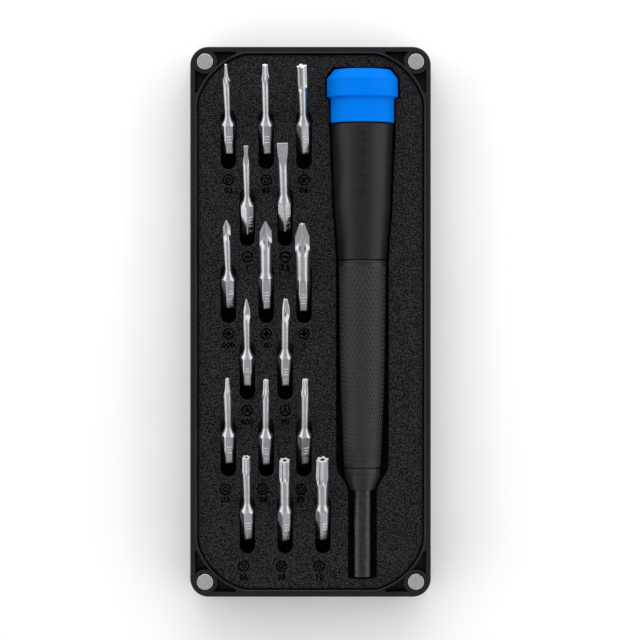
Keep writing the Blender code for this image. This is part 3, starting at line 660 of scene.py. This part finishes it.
def floor_material():
    """Plain white card."""
    recipe = Recipe("white_card", specular=0.0)
    recipe.colour(recipe.noise(40.0 * MM), (0.88, 0.88, 0.88), (0.9, 0.9, 0.9))
    recipe.roughness(recipe.noise(2.0 * MM), 0.8, 0.9)
    return recipe.material


# -------- tray and magnets

def at_corners():
    """The centre of each corner magnet."""
    reach_x = CASE_WIDTH / 2 - MAGNET_INSET
    reach_y = CASE_LENGTH / 2 - MAGNET_INSET
    return [(side_x * reach_x, side_y * reach_y) for side_x in (-1, 1) for side_y in (-1, 1)]


def corner_pockets():
    """The hollows between the rim and the lip at the four cut corners."""
    margin = CORNER_END_TURN_DEG + POCKET_MARGIN_DEG
    inner = cut_corner(-LIP_LEDGE, 90.0 + margin, 180.0 - margin)
    half_width = CASE_WIDTH / 2 - RIM_WIDTH
    half_length = CASE_LENGTH / 2 - RIM_WIDTH
    outer = rounded_corner(half_width, half_length, CASE_CORNER_RADIUS - RIM_WIDTH)
    outline = [(half_width, inner[0][1])] + outer + [(inner[-1][0], half_length)] + inner[::-1]
    mouth = chamfered_edge(RIM_TOP, POCKET_EDGE)
    shape = bmesh.new()
    for side_x in (-1, 1):
        for side_y in (-1, 1):
            placed = [(side_x * x, side_y * y) for x, y in outline]
            if side_x * side_y < 0:
                placed.reverse()
            add_hole(shape, placed, lambda x, y: RIM_TOP - POCKET_DEPTH, mouth)
    return add_object("pocket_cutter", shape)


def boss_blocks():
    """The bosses that stand in the pockets, with their top edges broken."""
    levels = (
        (FLOOR_THICKNESS, BOSS_RADIUS),
        (RIM_TOP - POCKET_EDGE, BOSS_RADIUS),
        (RIM_TOP + 2 * SKIM, BOSS_RADIUS - POCKET_EDGE - 2 * SKIM),
    )
    shape = bmesh.new()
    for x, y in at_corners():
        loft(shape, stack(lambda radius: circle(x, y, radius), levels))
    return add_object("boss_block", shape)


def magnet_bores():
    """The round seats of the magnets."""
    bottom = RIM_TOP - MAGNET_THICKNESS - MAGNET_GAP
    mouth = chamfered_edge(RIM_TOP, POCKET_EDGE)
    shape = bmesh.new()
    for x, y in at_corners():
        add_hole(shape, circle(x, y, MAGNET_RADIUS + MAGNET_GAP), lambda x, y: bottom, mouth)
    return add_object("magnet_bore", shape)


def make_tray(materials):
    """The moulded tray, with rounded edges on its rim and lip."""
    outside = rounded([
        (0.0, BASE_CHAMFER, 0.0),
        (BASE_CHAMFER, 0.0, 0.6 * MM),
        (RIM_TOP, 0.0, RIM_ROUND),
        (RIM_TOP, RIM_ROUND * 2, 0.0),
    ])
    tray = lofted("tray", case_outline, outside)

    lip_top = RIM_TOP + LIP_HEIGHT
    lip_edge = rounded([(RIM_TOP, 0.0, 0.0), (lip_top, 0.0, LIP_ROUND), (lip_top, LIP_THICKNESS, 0.0)])
    lip_levels = [(RIM_TOP - OVERCUT, 0.0)] + lip_edge[1:-1]
    carve(tray, lofted("lip_block", insert_outline, lip_levels), "UNION")

    well_levels = [(FLOOR_THICKNESS, LIP_THICKNESS)]
    well_levels += [(z, LIP_THICKNESS - reach) for z, reach in round_edge(lip_top, LIP_ROUND)]
    carve(tray, lofted("well_cutter", insert_outline, well_levels))

    pockets = corner_pockets()
    carve(pockets, boss_blocks())
    carve(tray, pockets)
    carve(tray, magnet_bores())
    dress(tray, [materials["case"]], "case", "tray_shell")


def make_magnets(materials):
    """Four disc magnets with broken edges, flush with the rim."""
    profile = rounded([
        (0.0, 0.0, 0.0),
        (0.0, MAGNET_RADIUS, MAGNET_EDGE),
        (MAGNET_THICKNESS, MAGNET_RADIUS, MAGNET_EDGE),
        (MAGNET_THICKNESS, 0.0, 0.0),
    ])
    for number, (x, y) in enumerate(at_corners(), start=1):
        magnet = add_object(f"magnet_{number}", turned(profile, ROUND_SIDES))
        magnet.data.transform(Matrix.Translation((x, y, RIM_TOP - MAGNET_THICKNESS)))
        dress(magnet, [materials["magnet"]], "case", f"corner_magnet_{number}")


# -------- foam insert

def slot_back(bit):
    """Where the back end of a bit's slot lies along Y."""
    return FIRST_SLOT_BACK_Y - bit.row * ROW_PITCH


def slot_centre(bit):
    """Where the middle line of a bit's slot lies along X."""
    half_pitch = COLUMN_PITCH / 2 if bit.row % 2 else 0.0
    return OUTER_COLUMN_X + half_pitch + bit.column * COLUMN_PITCH


def collar_position(bit):
    """Where a bit's collar lies: the point of its axis where the hexagon ends."""
    y = slot_back(bit) + ROW_SEATS[bit.row] - bit.slip * MM
    return Vector((slot_centre(bit) + bit.shift * MM, y, COLLAR_HEIGHT))


def bit_slots():
    """One slot for each bit, its floor parallel to the bit's axis but no shallower than the front end."""
    slope = tan(BIT_TILT)
    hex_drop = (HEX_CORNER_RADIUS + SLOT_CLEARANCE) / cos(BIT_TILT)
    mouth = round_edge(FOAM_TOP, SLOT_EDGE)
    shape = bmesh.new()
    for bit in BITS:
        collar = collar_position(bit)
        front = slot_back(bit) + SLOT_LENGTH
        outline = stadium(slot_centre(bit), slot_back(bit), front, SLOT_WIDTH)
        front_drop = COLLAR_HEIGHT + (front - collar.y) * slope - (FOAM_TOP - SLOT_FRONT_DEPTH)
        drop = max(hex_drop, front_drop)
        add_hole(shape, outline, lambda x, y: collar.z - drop + (y - collar.y) * slope, mouth)
    return add_object("bit_slots", shape)


def recess_outline():
    """The driver's recess, which follows the driver at a small clearance."""
    gap = RECESS_CLEARANCE
    side = (  # position, half width, corner radius
        (-gap, CAP_FACE_RADIUS + gap / 2, 0.3 * MM),
        (3.0 * MM - gap / 2, CAP_RADIUS + gap, 0.6 * MM),
        (8.3 * MM + gap, CAP_RADIUS + gap, 0.3 * MM),
        (8.67 * MM + gap, SKIRT_RADIUS + gap, 0.8 * MM),
        (SKIRT_END + gap, SKIRT_RADIUS + gap, 1.0 * MM),
        (BODY_WAIST[0], BODY_WAIST[1] + gap, 8.0 * MM),
        (BODY_END, 7.62 * MM, 4.0 * MM),
        (116.6 * MM, 7.6 * MM, 6.0 * MM),
        (122.0 * MM, 4.2 * MM, 5.0 * MM),
        (SHAFT_END + 0.4 * MM, 4.2 * MM, 0.7 * MM),
    )
    left, right = (
        [(DRIVER_X + way * half, DRIVER_CAP_END_Y - along, radius) for along, half, radius in side]
        for way in (-1, 1)
    )
    return rounded(left + right[::-1], closed=True)


def rectangle(left, back, right, front):
    """A rectangular outline."""
    return [(left, back), (right, back), (right, front), (left, front)]


def driver_recess():
    """Cut right through under the cap and the body, shallower under the grip and the shaft."""
    shape = bmesh.new()
    add_hole(shape, recess_outline(), lambda x, y: FOAM_BOTTOM - OVERCUT, round_edge(FOAM_TOP, RECESS_EDGE))
    recess = add_object("driver_recess", shape)
    reach = CAP_RADIUS + OVERCUT
    shallow = (  # start, end, floor
        (BODY_END, RECESS_NOSE_END, GRIP_FLOOR),
        (RECESS_NOSE_END, SHAFT_END + reach, SHAFT_FLOOR),
    )
    for start, end, floor in shallow:
        back, front = DRIVER_CAP_END_Y - end, DRIVER_CAP_END_Y - start
        shape = bmesh.new()
        add_prism(shape, rectangle(DRIVER_X - reach, back, DRIVER_X + reach, front), -reach, floor)
        carve(recess, add_object("block", shape))
    return recess


def arms(count, reach, half_width, turn):
    """Straight arms from the origin: a bar, a tripod or a cross."""
    points = []
    for k in range(count):
        heading = turn + 2 * pi * k / count
        along = Vector((cos(heading), sin(heading)))
        across = Vector((-along.y, along.x))
        between = heading + pi / count
        notch = half_width / sin(pi / count)
        points.append(tuple(along * reach - across * half_width))
        points.append(tuple(along * reach + across * half_width))
        if count > 2:
            points.append((notch * cos(between), notch * sin(between)))
    return points


def lobe_radius(section, angle, reach):
    """Radius of a star of round lobes at an angle from a lobe, where the lobes reach out this far."""
    depth = LOBE_DEPTH[section]
    return reach * (1 - depth / 2 + depth / 2 * cos(LOBES[section] * angle))


def lobed(section, reach, sides=60):
    """The outline of a star of round lobes, one of them along +Y."""
    star = [(a, lobe_radius(section, a - pi / 2, reach)) for a in full_turn(sides)]
    return [(radius * cos(a), radius * sin(a)) for a, radius in star]


def add_symbol(shape, section, radius, line, bottom, top):
    """Add the sign of a drive type, inside a circle, as solids to a shape."""
    add_prism(shape, circle(0, 0, radius), bottom, top, hole=circle(0, 0, radius - line))
    reach = radius * SIGN_SHARE
    if section in LOBES:
        add_prism(shape, lobed(section, reach), bottom, top, hole=lobed(section, reach - line))
    else:
        half_width = line * ARM_SHARE[section]
        add_prism(shape, arms(WINGS[section], reach, half_width, ARM_TURN[section]), bottom, top)
    if section == "hollow_star":
        add_prism(shape, circle(0, 0, line / 2, sides=16), bottom, top)


def number_block(text, height, depth, bold):
    """A number as a solid round the XY plane, its text centred on the origin."""
    curve = bpy.data.curves.new("number", "FONT")
    curve.body = text
    curve.size = height * TEXT_SIZE
    curve.offset = bold
    curve.extrude = depth
    curve.resolution_u = 3
    curve.space_character = 1.12
    curve.align_x = "CENTER"
    curve.align_y = "CENTER"
    written = linked("number", curve)
    shape = bmesh.new()
    shape.from_mesh(evaluated_mesh(written))
    bpy.data.objects.remove(written, do_unlink=True)
    bmesh.ops.remove_doubles(shape, verts=shape.verts, dist=1e-7)
    return shape


def pressed_marks():
    """The sign and the number pressed into the foam below each bit's slot."""
    shapes = []
    for bit in BITS:
        x = slot_centre(bit) + MARK_SHIFTS[bit.row]
        sign = bmesh.new()
        bottom = FOAM_TOP - MARK_DEPTH
        add_symbol(sign, bit.section, MARK_RADIUS, MARK_LINE, bottom, FOAM_TOP + OVERCUT)
        sign.transform(Matrix.Translation((x, slot_back(bit) - MARK_DROPS[bit.row], 0)))
        number = number_block(bit.number, NUMBER_HEIGHT, MARK_DEPTH, NUMBER_BOLDNESS)
        number.transform(Matrix.Translation((x, slot_back(bit) - NUMBER_DROPS[bit.row], FOAM_TOP)))
        shapes += [sign, number]
    return shapes


def give_slots(piece, materials):
    """Give a piece or a cutter its material slots, so that a cut keeps their indices."""
    for material in materials:
        piece.data.materials.append(material)


def marking_cutter(name, shape, materials):
    """A cutter whose cuts take the second material: the pressed foam with its painted shade in the foam,
    the etched steel on a bit.
    """
    for face in shape.faces:
        face.material_index = 1
    cutter = add_object(name, shape)
    give_slots(cutter, materials)
    return cutter


def make_insert(materials):
    """The foam insert, with soft edges, slots, the driver's recess and pressed marks."""
    inset = LIP_THICKNESS + FOAM_GAP
    profile = rounded([
        (FOAM_BOTTOM, inset, 0.0),
        (FOAM_TOP, inset, FOAM_EDGE),
        (FOAM_TOP, inset + 2 * FOAM_EDGE, 0.0),
    ])
    insert = lofted("insert", insert_outline, profile)
    # the second finish, near-black pressed foam, paints shade into the cut marks' grooves
    finishes = [materials["foam"], materials["pressed"]]
    give_slots(insert, finishes)
    carve(insert, bit_slots())
    carve(insert, driver_recess())
    for shape in pressed_marks():
        carve(insert, marking_cutter("mark", shape, finishes))
    dress(insert, finishes, "case", "foam_insert")


# -------- bits

def hex_radius(angle, across_flats=HEX_ACROSS_FLATS, corner=HEX_CORNER_RADIUS):
    """Radius of a hexagon, flats facing +-Y, with its corners broken."""
    from_flat = (angle - pi / 2 + pi / 6) % (pi / 3) - pi / 6
    return min(across_flats / 2 / cos(from_flat), corner)


def wing_radius(angle, wings, half_thickness, reach):
    """Radius of a section of straight-sided wings, the first along +X."""
    spread = 2 * pi / wings
    off_wing = abs((angle + spread / 2) % spread - spread / 2)
    if off_wing < TINY:
        return reach
    return min(reach, half_thickness / sin(off_wing))


def tip_radius(bit, angle, reach, back):
    """Radius of a tip's section at an angle, where the tip reaches out this far."""
    if bit.section in LOBES:
        return lobe_radius(bit.section, angle, reach)
    if bit.section == "slotted":
        share = back / (bit.stations[-1][0] * MM)
        half_thickness = BLADE_TIP_THICKNESS / 2 * (1 - share) + reach * share
        return wing_radius(angle + radians(bit.roll_deg), 2, half_thickness, reach)
    return wing_radius(angle, WINGS[bit.section], WING_THICKNESS[bit.section] * reach, reach)


def flat_end(angle, cone_end):
    """How far along the axis a flat runs up on a cone that narrows to this radius."""
    share = (HEX_CORNER_RADIUS - hex_radius(angle)) / (HEX_CORNER_RADIUS - cone_end)
    return CONE_LENGTH * min(FLAT_REACH, share)


def shank_rings(angles, shaft_root):
    """The hexagonal shank, the cone that its flats run up on, and the hollow flare to the shaft."""
    cone_end = min(shaft_root + CONE_END_STEP, HEX_CORNER_RADIUS - CONE_LEAST_DROP)
    end = -SHANK_LENGTH
    rings = [
        ring(angles, lambda a: hex_radius(a) - SHANK_EDGE, lambda a: end),
        ring(angles, hex_radius, lambda a: end + SHANK_EDGE),
        ring(angles, hex_radius, lambda a: flat_end(a, cone_end)),
    ]
    for step in range(FLARE_STEPS + 1):
        share = step / FLARE_STEPS
        radius = shaft_root + (cone_end - shaft_root) * (1 - share) ** 2
        rings.append(round_ring(angles, radius, CONE_LENGTH + FLARE_LENGTH * share))
    return rings


def fluted_share(stations, back):
    """How fully the tip's section shows: whole near the tip, and gone where the shaft starts."""
    full, gone = stations[-3][0] * MM, stations[-1][0] * MM
    share = min(1.0, max(0.0, (gone - back) / (gone - full)))
    return share * share * (3 - 2 * share)


def tip_end(bit):
    """How far along the axis a tip ends."""
    return BLADE_LENGTH - bit.short * MM


def tip_rings(bit, angles):
    """The shaft's end and the shaped tip, whose shape fades out towards the shaft."""
    start = bit.stations[-1][0] * MM
    corners = {back * MM for back, _ in bit.stations}
    count = round(start / BIT_RING_STEP)
    backs = sorted(corners | {start * k / count for k in range(1, count)}, reverse=True)
    rings = []
    for back in spaced(backs, sub, BIT_LEAST_STEP):
        reach = along_line(bit.stations, back / MM) * MM / 2
        share = 1.0 if bit.section == "slotted" else fluted_share(bit.stations, back)

        def shaped(angle):
            return share * tip_radius(bit, angle, reach, back) + (1 - share) * reach

        rings.append(ring(angles, shaped, lambda a: tip_end(bit) - back))
    return rings


def centre_feature(bit, angles):
    """The hole in a security tip, or the nub on a standoff tip."""
    end_radius = bit.stations[0][1] / 2 * MM
    tip = tip_end(bit)
    if bit.section == "hollow_star":
        radius = end_radius * HOLE_SHARE
        return [round_ring(angles, radius, tip), round_ring(angles, radius, tip - HOLE_DEPTH)]
    if bit.section == "standoff":
        radius = end_radius * NUB_SHARE
        end = tip + NUB_LENGTH
        chamfer = radius * NUB_CHAMFER
        levels = ((radius, tip), (radius, end - chamfer), (radius - chamfer, end))
        return [round_ring(angles, *level) for level in levels]
    return []


def shank_marks(bit, finishes):
    """The number and a row of fine bars etched into the flat that faces up."""
    number = number_block(bit.number, ETCH_HEIGHT, ETCH_DEPTH, 0.0)
    width = FIGURE_WIDTH * len(bit.number)
    middle = -SHANK_LENGTH + SHANK_EDGE + ETCH_MARGIN + width / 2
    number.transform(Matrix.Translation((middle, 0.0, 0.0)))
    for k in range(MARKS_ON_SHANK - len(bit.number)):
        x = -SHANK_LENGTH + BAR_START + width + k * BAR_PITCH
        half = BAR_HALF_LENGTHS[k % 2]
        add_prism(number, rectangle(x, -half, x + BAR_WIDTH, half), -ETCH_DEPTH, ETCH_DEPTH)
    # the text runs along the bit's own axis, its face to -Y, which is the flat that faces up
    flat = Matrix(((0, -1, 0, 0), (0, 0, -1, -HEX_ACROSS_FLATS / 2), (1, 0, 0, 0), (0, 0, 0, 1)))
    number.transform(flat)
    return marking_cutter("shank_mark", number, finishes)


def bit_place(bit):
    """A bit's place: rolled, leant back along its slot, and turned to the side about its shank's middle."""
    roll = Matrix.Rotation(radians(bit.roll_deg), 4, "Z")
    lean = Matrix.Rotation(BIT_TILT - pi / 2, 4, "X")
    turn = Matrix.Rotation(radians(bit.turn_deg), 4, "Z")
    middle = Vector((0.0, -SHANK_LENGTH / 2 * cos(BIT_TILT), 0.0))
    about_middle = Matrix.Translation(middle) @ turn @ Matrix.Translation(-middle)
    return Matrix.Translation(collar_position(bit)) @ about_middle @ lean @ roll


def make_bit(bit, materials):
    """One bit, tilted in its slot."""
    finishes = [materials[name] for name in ("bit", "etched", "turned")]
    angles = full_turn(ROUND_SIDES)
    rings = shank_rings(angles, bit.shaft_root / 2 * MM) + tip_rings(bit, angles)
    rings += centre_feature(bit, angles)
    shape = bmesh.new()
    loft(shape, rings)
    for face in shape.faces:
        along = face.calc_center_median().z
        if 0.0 < along < CONE_LENGTH:
            face.material_index = 2
        if along > tip_end(bit) - END_FACE_DEPTH:
            face.material_index = 1
    piece = add_object(bit.name, shape)
    give_slots(piece, finishes)
    carve(piece, shank_marks(bit, finishes))
    piece.data.transform(bit_place(bit))
    node = "bit_" + bit.name
    dress(piece, finishes, node, node, BIT_SHARP_ANGLE)


# -------- driver

def driver_piece(name, shape):
    """A piece made about the Z axis, laid along the driver's axis."""
    end = Matrix.Translation((DRIVER_X, DRIVER_CAP_END_Y, DRIVER_HEIGHT))
    shape.transform(end @ Matrix.Rotation(pi / 2, 4, "X"))
    return add_object(name, shape)


def in_metres(*points):
    """Profile points from millimetres."""
    return [tuple(value * MM for value in point) for point in points]


def make_cap(materials):
    """The spinning cap: a dished end, a wide band and a skirt, with its edges rounded."""
    outside = rounded([
        (0.85 * MM, 0.0, 0.0),
        (0.75 * MM, 3.6 * MM, 3.0 * MM),
        (CAP_FACE, 6.4 * MM, 0.5 * MM),
        (CAP_FACE, CAP_FACE_RADIUS, 0.5 * MM),
        (3.0 * MM, CAP_RADIUS, 0.55 * MM),
        (8.25 * MM, CAP_RADIUS, 0.35 * MM),
        (8.72 * MM, SKIRT_RADIUS, 0.35 * MM),
        (SKIRT_END, SKIRT_RADIUS, 0.25 * MM),
        (SKIRT_END, CAP_BORE, 0.0),
    ], steps=6)
    inside = [(4.2 * MM, CAP_BORE), (4.2 * MM, 0.0)]
    cap = driver_piece("cap", turned(outside + inside, DRIVER_SIDES))
    dress(cap, [materials["cap"]], "cap", "swivel_cap")


def body_marks():
    """A row of plain drive signs, sunk into the body's upper side."""
    shape = bmesh.new()
    turn = Matrix.Rotation(pi / 2, 4, "Z")
    for place, section in enumerate(BODY_SIGNS):
        along = SIGN_START + SIGN_PITCH * place
        height = DRIVER_HEIGHT + along_line((BODY_SHOULDER, BODY_WAIST), along)
        made = len(shape.verts)
        add_symbol(shape, section, SIGN_RADIUS, SIGN_LINE, -SIGN_DEPTH, OVERCUT)
        place_there = Matrix.Translation((DRIVER_X, DRIVER_CAP_END_Y - along, height)) @ turn
        bmesh.ops.transform(shape, matrix=place_there, verts=list(shape.verts)[made:])
    return add_object("body_marks", shape)


def make_upper_body(materials):
    """The smooth upper half of the handle, with a neck and a spigot."""
    neck = (15.6, 0.0, 0.0), (15.6, 1.7, 0.0), (9.3, 1.7, 0.0), (9.3, 4.5, 0.3), (16.1, 4.5, 0.0)
    profile = rounded(in_metres(*neck) + [
        (16.1 * MM, 9.05 * MM, 0.35 * MM),
        (*BODY_SHOULDER, 0.0),
        (*BODY_WAIST, 12.0 * MM),
        (BODY_END, 7.14 * MM, 0.2 * MM),
        (BODY_END, SPIGOT_RADIUS, 0.0),
        (SPIGOT_END, SPIGOT_RADIUS, 0.3 * MM),
        (SPIGOT_END, 0.0, 0.0),
    ], steps=6)
    body = driver_piece("upper_body", turned(profile, DRIVER_SIDES))
    carve(body, body_marks())
    dress(body, [materials["body"]], "driver", "handle_upper_body")


def knurled_radius(angle, along):
    """The grip's outer radius, less the depth of the staggered dimples at this place."""
    wave = (cos(KNURL_COUNT * angle) + cos(2 * pi * (along - KNURL_START) / KNURL_PITCH)) / 2
    pressed = min(1.0, max(0.0, (abs(wave) - KNURL_LAND) / KNURL_RISE))
    end_fade = min(1.0, (along - KNURL_START) / KNURL_FADE, (GRIP_END - along) / KNURL_FADE)
    depth = KNURL_DEPTH * pressed ** KNURL_POWER * max(0.0, end_fade)
    return along_line(GRIP_PROFILE, along) - depth


def make_grip(materials):
    """The tapering grip sleeve with its knurl of staggered dimples."""
    angles = full_turn(KNURL_COUNT * KNURL_SAMPLES_AROUND)
    rounded_start = (0.0, -0.2), (0.06, -0.06), (0.2, 0.0), (0.55, 0.0)
    groove = (0.6, -0.12), (0.72, -0.12), (0.78, 0.0)
    rings = []
    for along, step in in_metres(*rounded_start, *groove):
        rings.append(round_ring(angles, GRIP_PROFILE[0][1] + step, GRIP_START + along))
    count = round((GRIP_END - KNURL_START) / KNURL_PITCH * KNURL_SAMPLES_ALONG)
    for k in range(count + 1):
        along = KNURL_START + (GRIP_END - KNURL_START) * k / count
        rings.append(ring(angles, lambda a: knurled_radius(a, along), lambda a: along))
    bore = (
        (GRIP_END, SHAFT_BORE),
        (SHAFT_START - SEAT_GAP, SHAFT_BORE),
        (SHAFT_START - SEAT_GAP, CORE_BORE),
        (SPIGOT_END + SEAT_GAP, CORE_BORE),
        (SPIGOT_END + SEAT_GAP, SPIGOT_BORE),
        (GRIP_START, SPIGOT_BORE),
    )
    rings += [round_ring(angles, radius, along) for along, radius in bore]
    shape = bmesh.new()
    loft(shape, rings, closed=True)
    grip = driver_piece("grip", shape)
    dress(grip, [materials["grip"]], "driver", "knurled_grip")


def make_collar(materials):
    """The smooth collar between the grip and the shaft, with a ring groove above its cone."""
    profile = rounded(in_metres(
        (116.3, 3.3, 0.0),
        (116.3, 5.34, 0.15),
        (117.9, 5.34, 0.08),
        (118.0, 5.2, 0.05),
        (118.3, 5.2, 0.05),
        (118.4, 5.34, 0.1),
        (119.0, 5.2, 0.5),
        (122.7, 3.65, 0.2),
        (122.7, 3.3, 0.0),
    ), steps=4)
    collar = driver_piece("collar", turned(profile, DRIVER_SIDES, ring_shaped=True))
    dress(collar, [materials["grip"]], "driver", "nose_collar")


def make_shaft(materials):
    """The shaft with a hexagonal bit socket and the seat of the socket's magnet."""
    angles = full_turn(ROUND_SIDES)
    corner = SOCKET_ACROSS_FLATS / sqrt(3)
    profile = rounded([
        (SHAFT_START, SHAFT_RADIUS, 0.0),
        (SHAFT_END, SHAFT_RADIUS, SHAFT_EDGE),
        (SHAFT_END, SHAFT_RADIUS - 2 * SHAFT_EDGE, 0.0),
    ])[:-1]
    rings = [round_ring(angles, radius, along) for along, radius in profile]

    def socket(grow, along):
        return ring(angles, lambda a: hex_radius(a, SOCKET_ACROSS_FLATS, corner) + grow, lambda a: along)

    bottom = SHAFT_END - SOCKET_DEPTH
    rings += [socket(SOCKET_EDGE, SHAFT_END), socket(0.0, SHAFT_END - SOCKET_EDGE), socket(0.0, bottom)]
    for along in (bottom, bottom - MAGNET_SEAT_DEPTH):
        rings.append(round_ring(angles, MAGNET_SEAT_RADIUS, along))
    shape = bmesh.new()
    loft(shape, rings)
    shaft = driver_piece("shaft", shape)
    dress(shaft, [materials["shaft"]], "driver", "socket_shaft")


def finish_inner_parts(materials):
    """The swivel's parts and the socket's magnet keep their CAD shapes."""
    finishes = {
        "swivel_bushing": "bushing",
        "retaining_washer": "screw",
        "swivel_screw": "screw",
        "socket_magnet": "magnet",
    }
    for node, finish in finishes.items():
        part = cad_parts[node]
        part.data.materials.clear()
        part.data.materials.append(materials[finish])


# -------- stage

def add_softbox(name, place, width, length, watts):
    """A large area light that faces the set."""
    light = bpy.data.lights.new(name, "AREA")
    light.shape = "RECTANGLE"
    light.size = width
    light.size_y = length
    light.energy = watts
    lamp = linked(name, light)
    lamp.location = place
    lamp.rotation_euler = (-Vector(lamp.location)).to_track_quat("-Z", "Y").to_euler()
    lamp.visible_camera = False


def make_stage(materials):
    """A plain pale floor, three softboxes and an even sky."""
    shape = bmesh.new()
    outline = rectangle(-FLOOR_REACH, -FLOOR_REACH, FLOOR_REACH, FLOOR_REACH)
    shape.faces.new([shape.verts.new((x, y, 0.0)) for x, y in outline])
    floor = add_object("floor", shape)
    floor.data.materials.append(materials["floor"])
    world = bpy.data.worlds.new("even_sky")
    world.use_nodes = True
    sky = world.node_tree.nodes["Background"]
    sky.inputs["Color"].default_value = SKY_COLOUR
    sky.inputs["Strength"].default_value = SKY_STRENGTH
    bpy.context.scene.world = world
    for softbox in SOFTBOXES:
        add_softbox(*softbox)
    bpy.context.scene.view_settings.view_transform = "Standard"


def make_camera():
    """Straight above the tray, a little beside its centre."""
    data = bpy.data.cameras.new("camera")
    data.sensor_width = CAMERA_SENSOR
    data.lens = CAMERA_LENS
    camera = linked("camera", data)
    camera.location = CAMERA_PLACE
    bpy.context.scene.camera = camera


def main():
    """Build every piece and the stage."""
    make_camera()
    materials = make_materials()
    make_stage(materials)
    make_tray(materials)
    make_magnets(materials)
    make_insert(materials)
    for bit in BITS:
        make_bit(bit, materials)
    make_cap(materials)
    make_upper_body(materials)
    make_grip(materials)
    make_collar(materials)
    make_shaft(materials)
    finish_inner_parts(materials)


main()
